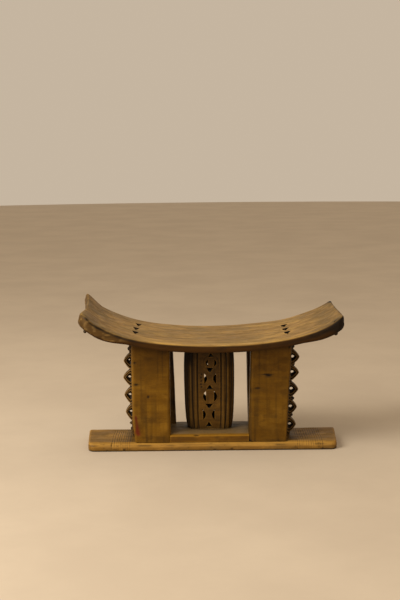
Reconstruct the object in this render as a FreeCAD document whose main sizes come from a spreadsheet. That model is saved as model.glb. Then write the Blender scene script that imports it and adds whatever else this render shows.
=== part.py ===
"""A carved wooden stool with a crescent seat, four posts, a pierced central column, an openwork lattice
at each end, a plinth and a base board.  Millimetres, +Z up, front towards -Y, origin on the ground under
the middle of the seat.  Every length is a cell of the sheet Sizes."""

import FreeCAD, Part
import os
import Sketcher

SIZES = [
    ("seat_length", 536.0, "seat, end to end"),
    ("seat_width", 240.0, "seat, front to back"),
    ("seat_middle_height", 232.0, "top of the seat at its lowest point"),
    ("seat_middle_radius", 900.0, "curve of the shallow middle of the seat"),
    ("seat_end_radius", 262.0, "curve of the rising ends"),
    ("seat_bend_half", 150.0, "middle of the seat to where its ends start to rise"),
    ("seat_core_thickness", 23.0, "seat over the posts"),
    ("seat_core_half", 60.0, "half the width of that thick band"),
    ("seat_edge_thickness", 15.0, "seat at its front and back edges"),
    ("seat_corner_radius", 14.0, "corners of the seat, seen from above"),
    ("pit_distance", 156.0, "middle of the seat to a row of pits"),
    ("pit_spacing", 46.0, "one pit to the next"),
    ("pit_width", 10.0, "wide side of a triangular pit"),
    ("pit_length", 17.0, "wide side of a pit to its point"),
    ("pit_floor_height", 238.0, "bottom of the pits, above the ground"),
    ("pit_start_height", 260.0, "above the seat, where the cut of a pit starts"),
    ("base_length", 527.0, "base board"),
    ("base_width", 128.0, "base board"),
    ("base_thickness", 18.0, "base board"),
    ("base_shift", 2.0, "how far the base board lies off centre, towards the right"),
    ("base_corner_radius", 10.0, "corners of the base board, seen from above"),
    ("base_top_rounding", 6.0, "upper edge of the base board"),
    ("base_foot_rounding", 2.0, "lower edge of the base board"),
    ("plinth_length", 313.0, "plinth between its end faces"),
    ("plinth_width", 117.0, "plinth between its front and back faces"),
    ("plinth_corner_radius", 6.0, "corners of the plinth, which lie within the posts"),
    ("plinth_edge_height", 14.5, "plinth above the base board, at its front and back"),
    ("plinth_crown", 5.0, "how much higher the middle of the plinth is"),
    ("post_outer_top", 166.0, "outer side of a post, at the height post_top"),
    ("post_outer_foot", 159.0, "outer side of a post, at the base board"),
    ("post_inner_top", 82.5, "inner side of a post, at the height post_top"),
    ("post_inner_foot", 78.5, "inner side of a post, at the base board"),
    ("post_face", 59.0, "middle of the stool to the front of a front post"),
    ("post_depth", 34.0, "post, front to back"),
    ("post_corner_radius", 5.0, "long edges of a post"),
    ("post_top", 229.0, "top of a post before the seat is cut out of it"),
    ("column_foot", 30.0, "bottom of the column before the plinth is cut out of it"),
    ("column_foot_width", 92.0, "column at its foot"),
    ("column_foot_depth", 46.0, "column at its foot"),
    ("column_belly", 145.0, "height of the widest part of the column"),
    ("column_belly_width", 106.5, "column at its widest"),
    ("column_belly_depth", 56.0, "column at its widest"),
    ("column_top", 220.0, "top of the column before the seat is cut out of it"),
    ("column_top_width", 102.0, "column at its top"),
    ("column_top_depth", 52.0, "column at its top"),
    ("column_corner_radius", 19.0, "turned-back sides of the column"),
    ("core_width", 48.0, "hollow of the column, side to side"),
    ("core_depth", 26.0, "hollow of the column, front to back"),
    ("core_corner_radius", 8.0, "corners of that hollow"),
    ("motif_foot", 47.0, "height of the lowest pierced triangle"),
    ("motif_pitch", 18.7, "one row of piercings to the next"),
    ("triangle_width", 11.0, "pierced triangle"),
    ("triangle_height", 8.0, "pierced triangle"),
    ("crescent_distance", 11.0, "middle of the column to the tips of a crescent"),
    ("crescent_height", 16.0, "tip to tip"),
    ("crescent_outer_radius", 11.5, "bulging side of a crescent"),
    ("crescent_inner_radius", 40.0, "flatter side of a crescent"),
    ("lattice_distance", 168.0, "middle of the stool to the middle line of a lattice"),
    ("lattice_depth", 22.0, "lattice, front to back"),
    ("lattice_top", 236.0, "top of a lattice before the seat is cut out of it"),
    ("lozenge_half_width", 16.0, "lozenge of a lattice"),
    ("lozenge_half_height", 22.5, "lozenge of a lattice, if its points were not joined"),
    ("lozenge_pitch", 36.5, "one lozenge to the next"),
    ("hole_half_width", 8.5, "through hole of a lozenge"),
    ("hole_half_height", 7.0, "through hole of a lozenge"),
    ("stem_half_width", 7.0, "foot and head of a lattice"),
    ("stem_overlap", 10.0, "how far the foot and the head reach into the next lozenge"),
    ("left_lozenge_height", 73.0, "middle of the lowest lozenge on the left"),
    ("left_lozenge_count", 4.0, "lozenges on the left"),
    ("right_lozenge_height", 43.0, "middle of the lowest lozenge on the right"),
    ("right_lozenge_count", 5.0, "lozenges on the right"),
    ("lug_distance", 260.0, "middle of the stool to a lug"),
    ("lug_neck_top", 275.0, "top of a lug's neck before the seat is cut out of it"),
    ("left_lug_radius", 3.5, "knob of the left lug"),
    ("left_lug_height", 246.0, "middle of the left knob"),
    ("left_neck_radius", 2.5, "neck of the left lug"),
    ("right_lug_radius", 4.7, "knob of the right lug"),
    ("right_lug_height", 237.0, "middle of the right knob"),
    ("right_neck_radius", 3.0, "neck of the right lug"),
]

START = 1
END = 2
CENTRE = 3
ORIGIN = (-1, 1)
VERTICAL_AXIS = -2
TRIANGLE_ROWS = {0: 1, 2: -1, 4: 1, 6: -1, 8: 1}
CRESCENT_ROWS = {1: -1, 3: 1, 5: -1, 7: 1}

doc = FreeCAD.newDocument("carved_stool")


def make_sheet():
    sheet = doc.addObject("Spreadsheet::Sheet", "Sizes")
    for row, (alias, value, meaning) in enumerate(SIZES, start=1):
        sheet.set(f"A{row}", alias)
        sheet.set(f"B{row}", str(value))
        sheet.set(f"C{row}", meaning)
        sheet.setAlias(f"B{row}", alias)
    doc.recompute()


# ---------------------------------------------------------------- sketch helpers


def new_body(label):
    body = doc.addObject("PartDesign::Body", label)
    body.Label = label
    return body


def origin_feature(body, role):
    return next(item for item in body.Origin.OriginFeatures if item.Role == role)


def new_sketch(body, name, plane, **offsets):
    """A sketch on one of the body's origin planes, moved by the expressions x, y and z."""
    sketch = body.newObject("Sketcher::SketchObject", name)
    sketch.AttachmentSupport = [(origin_feature(body, plane), "")]
    sketch.MapMode = "FlatFace"
    for axis, expression in offsets.items():
        sketch.setExpression(f".AttachmentOffset.Base.{axis}", expression)
    return sketch


def dimension(sketch, kind, references, expression):
    """A dimension of the sketch, bound to an expression of the sheet."""
    value = sketch.evalExpression(expression)
    index = sketch.addConstraint(Sketcher.Constraint(kind, *references, value))
    sketch.setExpression(f"Constraints[{index}]", expression)


def fix_point(sketch, edge, end, across, up):
    """The place of one end of an edge, across and up from the sketch's origin."""
    dimension(sketch, "DistanceX", (*ORIGIN, edge, end), across)
    dimension(sketch, "DistanceY", (*ORIGIN, edge, end), up)


def vector(sketch, across, up):
    return FreeCAD.Vector(sketch.evalExpression(across), sketch.evalExpression(up), 0)


def add_polygon(sketch, corners):
    """A closed outline of straight edges through corners, which are pairs of expressions."""
    points = [vector(sketch, across, up) for across, up in corners]
    following = points[1:] + points[:1]
    edges = [sketch.addGeometry(Part.LineSegment(a, b), False) for a, b in zip(points, following)]
    for edge, after in zip(edges, edges[1:] + edges[:1]):
        sketch.addConstraint(Sketcher.Constraint("Coincident", edge, END, after, START))
    for edge, (across, up) in zip(edges, corners):
        fix_point(sketch, edge, START, across, up)


def add_arc(sketch, centre, radius, first, last):
    """A counter-clockwise arc from point first to point last."""
    angles = [(point - centre).getAngle(FreeCAD.Vector(1, 0, 0)) for point in (first, last)]
    if first.y < centre.y:
        angles[0] = -angles[0]
    if last.y < centre.y:
        angles[1] = -angles[1]
    circle = Part.Circle(centre, FreeCAD.Vector(0, 0, 1), radius)
    return sketch.addGeometry(Part.ArcOfCircle(circle, angles[0], angles[1]), False)


def add_rounded_rectangle(sketch, width, depth, radius):
    """A rectangle with round corners about the sketch's origin; its sizes are expressions."""
    half_w = sketch.evalExpression(width) / 2
    half_d = sketch.evalExpression(depth) / 2
    r = sketch.evalExpression(radius)
    sides = []
    arcs = []
    turns = [(1, 1), (-1, 1), (-1, -1), (1, -1)]
    for index, (sx, sy) in enumerate(turns):
        centre = FreeCAD.Vector(sx * (half_w - r), sy * (half_d - r), 0)
        flat = FreeCAD.Vector(sx * half_w, centre.y, 0)
        tall = FreeCAD.Vector(centre.x, sy * half_d, 0)
        first, last = (flat, tall) if index % 2 == 0 else (tall, flat)
        arcs.append(add_arc(sketch, centre, r, first, last))
        if index % 2 == 0:
            ahead = FreeCAD.Vector(-centre.x, tall.y, 0)
            sides.append(sketch.addGeometry(Part.LineSegment(tall, ahead), False))
        else:
            ahead = FreeCAD.Vector(flat.x, -centre.y, 0)
            sides.append(sketch.addGeometry(Part.LineSegment(flat, ahead), False))
    for index in range(4):
        following = arcs[(index + 1) % 4]
        sketch.addConstraint(Sketcher.Constraint("Tangent", arcs[index], END, sides[index], START))
        sketch.addConstraint(Sketcher.Constraint("Tangent", sides[index], END, following, START))
    for index, kind in enumerate(("Horizontal", "Vertical", "Horizontal", "Vertical")):
        sketch.addConstraint(Sketcher.Constraint(kind, sides[index]))
    for arc in arcs[1:]:
        sketch.addConstraint(Sketcher.Constraint("Equal", arcs[0], arc))
    dimension(sketch, "Radius", (arcs[0],), radius)
    dimension(sketch, "DistanceX", (*ORIGIN, sides[3], START), f"({width}) / 2")
    dimension(sketch, "DistanceX", (sides[1], START, *ORIGIN), f"({width}) / 2")
    dimension(sketch, "DistanceY", (*ORIGIN, sides[0], START), f"({depth}) / 2")
    dimension(sketch, "DistanceY", (sides[2], START, *ORIGIN), f"({depth}) / 2")


def loft(body, name, sections, ruled=False):
    feature = body.newObject("PartDesign::AdditiveLoft", name)
    feature.Profile = sections[0]
    feature.Sections = sections[1:]
    feature.Ruled = ruled
    doc.recompute()
    return feature


def pad(body, name, sketch, length, midplane=False):
    feature = body.newObject("PartDesign::Pad", name)
    feature.Profile = sketch
    feature.setExpression("Length", length)
    if midplane:
        feature.SideType = "Symmetric"
    doc.recompute()
    return feature


def cut_through(body, name, sketch):
    """Cuts the sketch through the body on both sides of its plane, and tests that wood went."""
    before = body.Shape.Volume
    feature = body.newObject("PartDesign::Pocket", name)
    feature.Profile = sketch
    feature.SideType = "Symmetric"
    feature.Type = "ThroughAll"
    doc.recompute()
    if not body.Shape.Volume < before:
        raise RuntimeError(f"{name} cut nothing")
    return feature


def repeat_upwards(body, name, feature, spacing, count):
    """Copies a feature upwards, count times in all, and makes the copies the body's tip."""
    pattern = body.newObject("PartDesign::LinearPattern", name)
    pattern.Originals = [feature]
    pattern.Direction = (origin_feature(body, "Z_Axis"), [""])
    pattern.Mode = "Spacing"
    pattern.setExpression("Offset", spacing)
    pattern.setExpression("Occurrences", count)
    body.Tip = pattern
    doc.recompute()
    return pattern


def mirror_left(body, name, feature):
    """Copies a feature to the other end of the stool and makes the copy the body's tip."""
    mirrored = body.newObject("PartDesign::Mirrored", name)
    mirrored.Originals = [feature]
    mirrored.MirrorPlane = (origin_feature(body, "YZ_Plane"), [""])
    body.Tip = mirrored
    doc.recompute()
    return mirrored


def round_edges(body, name, radius, wanted):
    """Rounds the edges of the body's tip for which wanted(edge) is true."""
    base = body.Tip
    names = [f"Edge{i}" for i, edge in enumerate(base.Shape.Edges, start=1) if wanted(edge)]
    fillet = body.newObject("PartDesign::Fillet", name)
    fillet.Base = (base, names)
    fillet.setExpression("Radius", radius)
    doc.recompute()
    return fillet


def cut_out(label, base, *tools):
    """What is left of base once the solids of tools are cut out of it."""
    remaining = base
    for index, tool in enumerate(tools, start=1):
        cut = doc.addObject("Part::Cut", label if index == len(tools) else f"{label}_step{index}")
        cut.Base = remaining
        cut.Tool = tool
        remaining = cut
    remaining.Label = label
    doc.recompute()
    return remaining


# ---------------------------------------------------------------- seat


def add_seat_half_profile(sketch, thickness):
    """Right half of the seat seen from the front: a shallow arc, a tighter end arc tangent to it,
    a vertical end, and the same two arcs again below, one thickness further out."""
    middle_radius = sketch.evalExpression("Sizes.seat_middle_radius")
    end_radius = sketch.evalExpression("Sizes.seat_end_radius")
    depth = sketch.evalExpression(thickness)
    height = sketch.evalExpression("Sizes.seat_middle_height")
    bend = sketch.evalExpression("Sizes.seat_bend_half")
    tip = sketch.evalExpression("Sizes.seat_length / 2")

    middle_centre = FreeCAD.Vector(0, height + middle_radius, 0)
    down = FreeCAD.Vector(bend, -(middle_radius**2 - bend**2) ** 0.5, 0)
    joint = middle_centre + down
    outwards = down.normalize()
    end_centre = joint - outwards * end_radius
    low_joint = joint + outwards * depth
    reach = tip - end_centre.x
    tip_top = FreeCAD.Vector(tip, end_centre.y - (end_radius**2 - reach**2) ** 0.5, 0)
    low_radius = end_radius + depth
    tip_foot = FreeCAD.Vector(tip, end_centre.y - (low_radius**2 - reach**2) ** 0.5, 0)
    top_middle = FreeCAD.Vector(0, height, 0)
    foot_middle = FreeCAD.Vector(0, height - depth, 0)

    upper = add_arc(sketch, middle_centre, middle_radius, top_middle, joint)
    upper_end = add_arc(sketch, end_centre, end_radius, joint, tip_top)
    end_face = sketch.addGeometry(Part.LineSegment(tip_top, tip_foot), False)
    lower_end = add_arc(sketch, end_centre, low_radius, low_joint, tip_foot)
    lower = add_arc(sketch, middle_centre, middle_radius + depth, foot_middle, low_joint)
    middle_face = sketch.addGeometry(Part.LineSegment(foot_middle, top_middle), False)

    for relation in (
        ("Tangent", upper, END, upper_end, START),
        ("Coincident", upper_end, END, end_face, START),
        ("Coincident", end_face, END, lower_end, END),
        ("Tangent", lower_end, START, lower, END),
        ("Coincident", lower, START, middle_face, START),
        ("Coincident", middle_face, END, upper, START),
        ("Coincident", upper, CENTRE, lower, CENTRE),
        ("Coincident", upper_end, CENTRE, lower_end, CENTRE),
        ("PointOnObject", upper, CENTRE, VERTICAL_AXIS),
        ("PointOnObject", upper, START, VERTICAL_AXIS),
        ("PointOnObject", lower, START, VERTICAL_AXIS),
        ("Vertical", end_face),
    ):
        sketch.addConstraint(Sketcher.Constraint(*relation))
    dimension(sketch, "Radius", (upper,), "Sizes.seat_middle_radius")
    dimension(sketch, "Radius", (upper_end,), "Sizes.seat_end_radius")
    dimension(sketch, "Radius", (lower,), f"Sizes.seat_middle_radius + {thickness}")
    dimension(sketch, "DistanceY", (*ORIGIN, upper, START), "Sizes.seat_middle_height")
    dimension(sketch, "DistanceX", (*ORIGIN, upper, END), "Sizes.seat_bend_half")
    dimension(sketch, "DistanceX", (*ORIGIN, upper_end, END), "Sizes.seat_length / 2")


def add_pits(body):
    """Three blind triangular pits in a row across each end of the seat, points to the front."""
    depth = "Sizes.pit_start_height - Sizes.pit_floor_height"
    sketch = new_sketch(body, "pit_outlines", "XY_Plane", z="Sizes.pit_start_height")
    for place in (-1, 0, 1):
        middle = f"{place} * Sizes.pit_spacing"
        back = f"{middle} + Sizes.pit_length / 2"
        add_polygon(sketch, [
            ("Sizes.pit_distance - Sizes.pit_width / 2", back),
            ("Sizes.pit_distance", f"{middle} - Sizes.pit_length / 2"),
            ("Sizes.pit_distance + Sizes.pit_width / 2", back),
        ])
    before = body.Shape.Volume
    pocket = body.newObject("PartDesign::Pocket", "right_pits")
    pocket.Profile = sketch
    pocket.setExpression("Length", depth)
    doc.recompute()
    if not body.Shape.Volume < before:
        raise RuntimeError("the pits cut nothing")
    mirror_left(body, "left_pits", pocket)


def make_seat_blank():
    body = new_body("seat_blank")
    sections = []
    for name, offset, thickness in (
        ("front_edge", "Sizes.seat_width / 2", "Sizes.seat_edge_thickness"),
        ("front_of_core", "Sizes.seat_core_half", "Sizes.seat_core_thickness"),
        ("back_of_core", "-Sizes.seat_core_half", "Sizes.seat_core_thickness"),
        ("back_edge", "-Sizes.seat_width / 2", "Sizes.seat_edge_thickness"),
    ):
        sketch = new_sketch(body, name, "XZ_Plane", z=offset)
        add_seat_half_profile(sketch, thickness)
        sections.append(sketch)
    doc.recompute()
    half = loft(body, "right_half", sections, ruled=True)
    mirror_left(body, "whole_seat", half)
    add_pits(body)
    return body


def make_seat():
    """The curved seat, kept where its plan with round corners covers it."""
    plan = new_body("seat_plan")
    outline = new_sketch(plan, "plan_outline", "XY_Plane")
    add_rounded_rectangle(outline, "Sizes.seat_length", "Sizes.seat_width", "Sizes.seat_corner_radius")
    pad(plan, "plan_prism", outline, "2 * Sizes.seat_middle_height")
    seat = doc.addObject("Part::Common", "seat")
    seat.Base = make_seat_blank()
    seat.Tool = plan
    doc.recompute()
    return seat


# ---------------------------------------------------------------- base board and plinth


def make_base_board():
    body = new_body("base_board")
    outline = new_sketch(body, "outline", "XY_Plane", x="Sizes.base_shift")
    add_rounded_rectangle(outline, "Sizes.base_length", "Sizes.base_width", "Sizes.base_corner_radius")
    pad(body, "board", outline, "Sizes.base_thickness")
    thickness = body.evalExpression("Sizes.base_thickness")

    def at_height(height):
        return lambda edge: all(abs(end.Z - height) < 0.01 for end in edge.Vertexes)

    round_edges(body, "worn_top_edge", "Sizes.base_top_rounding", at_height(thickness))
    round_edges(body, "worn_foot_edge", "Sizes.base_foot_rounding", at_height(0))
    return body


def make_plinth_blank():
    """The plinth's whole block: straight sides and a crowned top, drawn as seen from its end."""
    body = new_body("plinth_blank")
    sketch = new_sketch(body, "end_outline", "YZ_Plane")
    half = "Sizes.plinth_width / 2"
    edge = "Sizes.base_thickness + Sizes.plinth_edge_height"
    half_width = sketch.evalExpression(half)
    foot = sketch.evalExpression("Sizes.base_thickness")
    shoulder = sketch.evalExpression(edge)
    crown = sketch.evalExpression("Sizes.plinth_crown")
    radius = (half_width**2 + crown**2) / (2 * crown)
    corners = [
        FreeCAD.Vector(-half_width, shoulder, 0),
        FreeCAD.Vector(-half_width, foot, 0),
        FreeCAD.Vector(half_width, foot, 0),
        FreeCAD.Vector(half_width, shoulder, 0),
    ]
    lines = [sketch.addGeometry(Part.LineSegment(a, b), False) for a, b in zip(corners, corners[1:])]
    centre = FreeCAD.Vector(0, shoulder + crown - radius, 0)
    top = add_arc(sketch, centre, radius, corners[3], corners[0])
    for relation in (
        ("Coincident", lines[0], END, lines[1], START),
        ("Coincident", lines[1], END, lines[2], START),
        ("Coincident", lines[2], END, top, START),
        ("Coincident", top, END, lines[0], START),
    ):
        sketch.addConstraint(Sketcher.Constraint(*relation))
    fix_point(sketch, lines[0], START, f"-{half}", edge)
    fix_point(sketch, lines[1], START, f"-{half}", "Sizes.base_thickness")
    fix_point(sketch, lines[2], START, half, "Sizes.base_thickness")
    fix_point(sketch, top, START, half, edge)
    dimension(sketch, "Radius", (top,), f"(({half})^2 + Sizes.plinth_crown^2) / (2 * Sizes.plinth_crown)")
    pad(body, "block", sketch, "Sizes.plinth_length", midplane=True)
    half_length = body.evalExpression("Sizes.plinth_length / 2")

    def at_corner(edge):
        return all(
            abs(abs(end.X) - half_length) < 0.01 and abs(abs(end.Y) - half_width) < 0.01
            for end in edge.Vertexes
        )

    round_edges(body, "corners_inside_posts", "Sizes.plinth_corner_radius", at_corner)
    return body


# ---------------------------------------------------------------- posts


def make_post_blank(label, side, front):
    """A post before the seat is cut out of its top; side and front are +1 or -1 along X and Y."""
    body = new_body(f"{label}_blank")
    sections = []
    for level, height in (("foot", "Sizes.base_thickness"), ("top", "Sizes.post_top")):
        outer = f"Sizes.post_outer_{level}"
        inner = f"Sizes.post_inner_{level}"
        sketch = new_sketch(
            body,
            f"{level}_outline",
            "XY_Plane",
            x=f"{side} * ({outer} + {inner}) / 2",
            y=f"{front} * (Sizes.post_face - Sizes.post_depth / 2)",
            z=height,
        )
        add_rounded_rectangle(sketch, f"{outer} - {inner}", "Sizes.post_depth", "Sizes.post_corner_radius")
        sections.append(sketch)
    doc.recompute()
    loft(body, "post", sections)
    return body


# ---------------------------------------------------------------- central column


def add_triangle(sketch, height, direction):
    """A pierced triangle that points up (+1) or down (-1), its middle at the given height."""
    across = "Sizes.triangle_width / 2"
    flat = f"{height} - {direction} * Sizes.triangle_height / 2"
    point = f"{height} + {direction} * Sizes.triangle_height / 2"
    add_polygon(sketch, [(f"-{across}", flat), (across, flat), ("0 * Sizes.triangle_width", point)])


def add_crescent(sketch, height, side, bulge):
    """A pierced crescent left (-1) or right (+1) of the middle line, bulging to the left (-1) or to
    the right (+1)."""
    across = f"{side} * Sizes.crescent_distance"
    low = f"{height} - Sizes.crescent_height / 2"
    high = f"{height} + Sizes.crescent_height / 2"
    foot = vector(sketch, across, low)
    head = vector(sketch, across, high)
    half = (head.y - foot.y) / 2
    middle = (foot + head) / 2
    arcs = []
    for radius_name in ("crescent_outer_radius", "crescent_inner_radius"):
        radius = sketch.evalExpression(f"Sizes.{radius_name}")
        centre = FreeCAD.Vector(middle.x - bulge * (radius**2 - half**2) ** 0.5, middle.y, 0)
        first, last = (foot, head) if bulge > 0 else (head, foot)
        arc = add_arc(sketch, centre, radius, first, last)
        dimension(sketch, "Radius", (arc,), f"Sizes.{radius_name}")
        arcs.append(arc)
    outer, inner = arcs
    sketch.addConstraint(Sketcher.Constraint("Coincident", outer, START, inner, START))
    sketch.addConstraint(Sketcher.Constraint("Coincident", outer, END, inner, END))
    ends = (low, high) if bulge > 0 else (high, low)
    for end, up in zip((START, END), ends):
        fix_point(sketch, outer, end, across, up)


def make_column_blank():
    """The barrel-shaped hollow column, pierced from front to back."""
    body = new_body("central_column_blank")
    sections = []
    for level in ("foot", "belly", "top"):
        sketch = new_sketch(body, f"{level}_outline", "XY_Plane", z=f"Sizes.column_{level}")
        add_rounded_rectangle(
            sketch, f"Sizes.column_{level}_width", f"Sizes.column_{level}_depth", "Sizes.column_corner_radius"
        )
        sections.append(sketch)
    doc.recompute()
    loft(body, "barrel", sections)

    core = new_sketch(body, "core_outline", "XY_Plane", z="Sizes.column_belly")
    add_rounded_rectangle(core, "Sizes.core_width", "Sizes.core_depth", "Sizes.core_corner_radius")
    cut_through(body, "core", core)

    motifs = new_sketch(body, "motif_outlines", "XZ_Plane")
    for row, direction in TRIANGLE_ROWS.items():
        add_triangle(motifs, f"(Sizes.motif_foot + {row} * Sizes.motif_pitch)", direction)
    for row, bulge in CRESCENT_ROWS.items():
        for side in (-1, 1):
            add_crescent(motifs, f"(Sizes.motif_foot + {row} * Sizes.motif_pitch)", side, side * bulge)
    cut_through(body, "motifs", motifs)
    return body


# ---------------------------------------------------------------- lattices


def add_lozenge(sketch, height, half_width, half_height):
    add_polygon(sketch, [
        (f"-{half_width}", height),
        ("0 * Sizes.lozenge_pitch", f"{height} - {half_height}"),
        (half_width, height),
        ("0 * Sizes.lozenge_pitch", f"{height} + {half_height}"),
    ])


def add_stem(sketch, low, high):
    add_polygon(sketch, [
        ("-Sizes.stem_half_width", low),
        ("Sizes.stem_half_width", low),
        ("Sizes.stem_half_width", high),
        ("-Sizes.stem_half_width", high),
    ])


def make_lattice_blank(label, side):
    """A chain of pierced lozenges with a foot and a head; side is +1 on the right."""
    body = new_body(f"{label}_blank")
    end = "left" if side < 0 else "right"
    lowest = f"Sizes.{end}_lozenge_height"
    count = f"Sizes.{end}_lozenge_count"
    highest = f"({lowest} + ({count} - 1) * Sizes.lozenge_pitch)"
    across = f"{side} * Sizes.lattice_distance"

    outline = new_sketch(body, "lozenge_outline", "XZ_Plane", x=across)
    add_lozenge(outline, lowest, "Sizes.lozenge_half_width", "Sizes.lozenge_half_height")
    lozenge = pad(body, "lozenge", outline, "Sizes.lattice_depth", midplane=True)
    repeat_upwards(body, "lozenges", lozenge, "Sizes.lozenge_pitch", count)

    into_lozenge = "(Sizes.lozenge_half_height - Sizes.stem_overlap)"
    stems = new_sketch(body, "stem_outlines", "XZ_Plane", x=across)
    add_stem(stems, "Sizes.base_thickness", f"{lowest} - {into_lozenge}")
    add_stem(stems, f"{highest} + {into_lozenge}", "Sizes.lattice_top")
    pad(body, "stems", stems, "Sizes.lattice_depth", midplane=True)

    hole_outline = new_sketch(body, "hole_outline", "XZ_Plane", x=across)
    add_lozenge(hole_outline, lowest, "Sizes.hole_half_width", "Sizes.hole_half_height")
    hole = cut_through(body, "hole", hole_outline)
    repeat_upwards(body, "holes", hole, "Sizes.lozenge_pitch", count)
    return body


# ---------------------------------------------------------------- end lugs


def make_lug_blank(label, side):
    """A round knob that hangs from the end of the seat by a short neck."""
    end = "left" if side < 0 else "right"
    across = f"{side} * Sizes.lug_distance"
    height = f"Sizes.{end}_lug_height"
    knob = doc.addObject("Part::Sphere", f"{label}_knob")
    knob.setExpression("Radius", f"Sizes.{end}_lug_radius")
    neck = doc.addObject("Part::Cylinder", f"{label}_neck")
    neck.setExpression("Radius", f"Sizes.{end}_neck_radius")
    neck.setExpression("Height", f"Sizes.lug_neck_top - {height}")
    for solid in (knob, neck):
        solid.setExpression(".Placement.Base.x", across)
        solid.setExpression(".Placement.Base.z", height)
    blank = doc.addObject("Part::Fuse", f"{label}_blank")
    blank.Base = knob
    blank.Tool = neck
    doc.recompute()
    return blank


# ---------------------------------------------------------------- assembly


def make_stool():
    """Builds every sub-part; what meets the seat or the plinth is cut to its surface."""
    make_sheet()
    seat = make_seat()
    base_board = make_base_board()
    plinth_blank = make_plinth_blank()
    posts = []
    for front, depth_name in ((-1, "front"), (1, "rear")):
        for side, side_name in ((-1, "left"), (1, "right")):
            label = f"{depth_name}_{side_name}_post"
            posts.append(cut_out(label, make_post_blank(label, side, front), seat))
    plinth = cut_out("plinth", plinth_blank, *posts)
    column = cut_out("central_column", make_column_blank(), seat, plinth)
    parts = [seat, base_board, plinth, *posts, column]
    for side, side_name in ((-1, "left"), (1, "right")):
        label = f"{side_name}_lattice"
        parts.append(cut_out(label, make_lattice_blank(label, side), seat, plinth))
        label = f"{side_name}_end_lug"
        parts.append(cut_out(label, make_lug_blank(label, side), seat))
    return parts


def check_document():
    for item in doc.Objects:
        if "Invalid" in item.State or "Error" in item.State:
            raise RuntimeError(f"{item.Label} failed: {item.State}")


def write_parts(parts):
    os.makedirs("parts", exist_ok=True)
    for part in parts:
        shape = part.Shape
        if shape.isNull() or not shape.isValid() or len(shape.Solids) != 1:
            raise RuntimeError(f"{part.Label} is not one valid solid")
    for part in parts:
        part.Shape.exportStep(f"parts/{part.Label}.step")
        box = part.Shape.optimalBoundingBox()
        print(f"{part.Label}: {box.XLength:.1f} x {box.YLength:.1f} x {box.ZLength:.1f} mm")


stool_parts = make_stool()
doc.recompute()
check_document()
write_parts(stool_parts)
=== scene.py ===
import itertools
import math

import bmesh
import bpy
import numpy as np
from mathutils import Matrix, Vector


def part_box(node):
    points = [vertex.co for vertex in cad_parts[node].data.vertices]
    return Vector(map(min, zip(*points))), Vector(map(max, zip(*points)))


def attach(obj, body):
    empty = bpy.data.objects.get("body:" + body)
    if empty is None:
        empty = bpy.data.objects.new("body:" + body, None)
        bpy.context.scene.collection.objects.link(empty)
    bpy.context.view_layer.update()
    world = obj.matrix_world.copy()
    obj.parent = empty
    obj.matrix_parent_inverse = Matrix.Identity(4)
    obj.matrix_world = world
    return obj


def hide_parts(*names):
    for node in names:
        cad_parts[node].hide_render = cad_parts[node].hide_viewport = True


# The looks of a carved wooden stool around its CAD frame: every carved member is a dense mesh with tool
# marks, worn rims and knife cuts. Lengths are millimetres until a mesh is made; +X right, +Y back, +Z up.

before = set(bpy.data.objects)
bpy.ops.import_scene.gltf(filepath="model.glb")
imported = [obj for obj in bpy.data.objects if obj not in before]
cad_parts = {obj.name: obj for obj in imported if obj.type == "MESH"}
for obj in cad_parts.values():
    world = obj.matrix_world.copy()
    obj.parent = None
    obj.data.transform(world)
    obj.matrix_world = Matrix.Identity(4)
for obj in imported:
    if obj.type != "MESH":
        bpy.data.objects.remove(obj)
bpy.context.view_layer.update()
MM = 0.001


def box_mm(node):
    """Lowest and highest corner of a CAD node."""
    lowest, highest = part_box(node)
    return np.array(lowest) / MM, np.array(highest) / MM


# ---------------------------------------------------------------- sizes taken from the frame

SEAT_LOW, SEAT_HIGH = box_mm("seat")
BASE_LOW, BASE_HIGH = box_mm("base_board")
PLINTH_LOW, PLINTH_HIGH = box_mm("plinth")
COLUMN_LOW, COLUMN_HIGH = box_mm("central_column")
FRONT_POST_BACK = box_mm("front_right_post")[1][1]

HALF_LENGTH = SEAT_HIGH[0]
HALF_WIDTH = SEAT_HIGH[1]
# The seat: its thickness in the middle of its width, and its curve, a wide arc and a tighter one at each end.
CORE_THICKNESS = 23.0
CORE_HALF = 60.0
MIDDLE_HEIGHT = SEAT_LOW[2] + CORE_THICKNESS
MIDDLE_RADIUS = 900.0
END_RADIUS = 262.0
BEND_HALF = 150.0
BEND_TURN = math.asin(BEND_HALF / MIDDLE_RADIUS)
END_CENTRE_X = BEND_HALF - END_RADIUS * math.sin(BEND_TURN)
END_CENTRE_Z = MIDDLE_HEIGHT + MIDDLE_RADIUS - (MIDDLE_RADIUS - END_RADIUS) * math.cos(BEND_TURN)
BASE_TOP = BASE_HIGH[2]
PLINTH_EDGE = BASE_TOP + 14.5
# How far a member reaches into the one it meets, so that no gap shows.
EMBED = 0.6


# ---------------------------------------------------------------- numbers and noise


def smooth(value):
    """0 below 0, 1 above 1, and an even S between."""
    value = np.clip(value, 0.0, 1.0)
    return value * value * (3.0 - 2.0 * value)


def curve_through(places, values, degree):
    """A polynomial of this degree near the values at those places."""
    fit = np.polyfit(places, values, degree)
    return lambda place: np.polyval(fit, place)


def random_field(points, cell, seed):
    """Smooth random values from -1 to 1 that change over the length cell, one length or one per axis."""
    grid = np.random.default_rng(seed).uniform(-1.0, 1.0, (32, 32, 32))
    scaled = points / np.asarray(cell, float)
    corner = np.floor(scaled).astype(int)
    part = scaled - corner
    part = part * part * (3.0 - 2.0 * part)
    total = np.zeros(len(points))
    for step in itertools.product((0, 1), repeat=3):
        weight = np.prod(np.where(np.array(step) == 1, part, 1.0 - part), axis=1)
        index = (corner + np.array(step)) % 32
        total += weight * grid[index[:, 0], index[:, 1], index[:, 2]]
    return total


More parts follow.
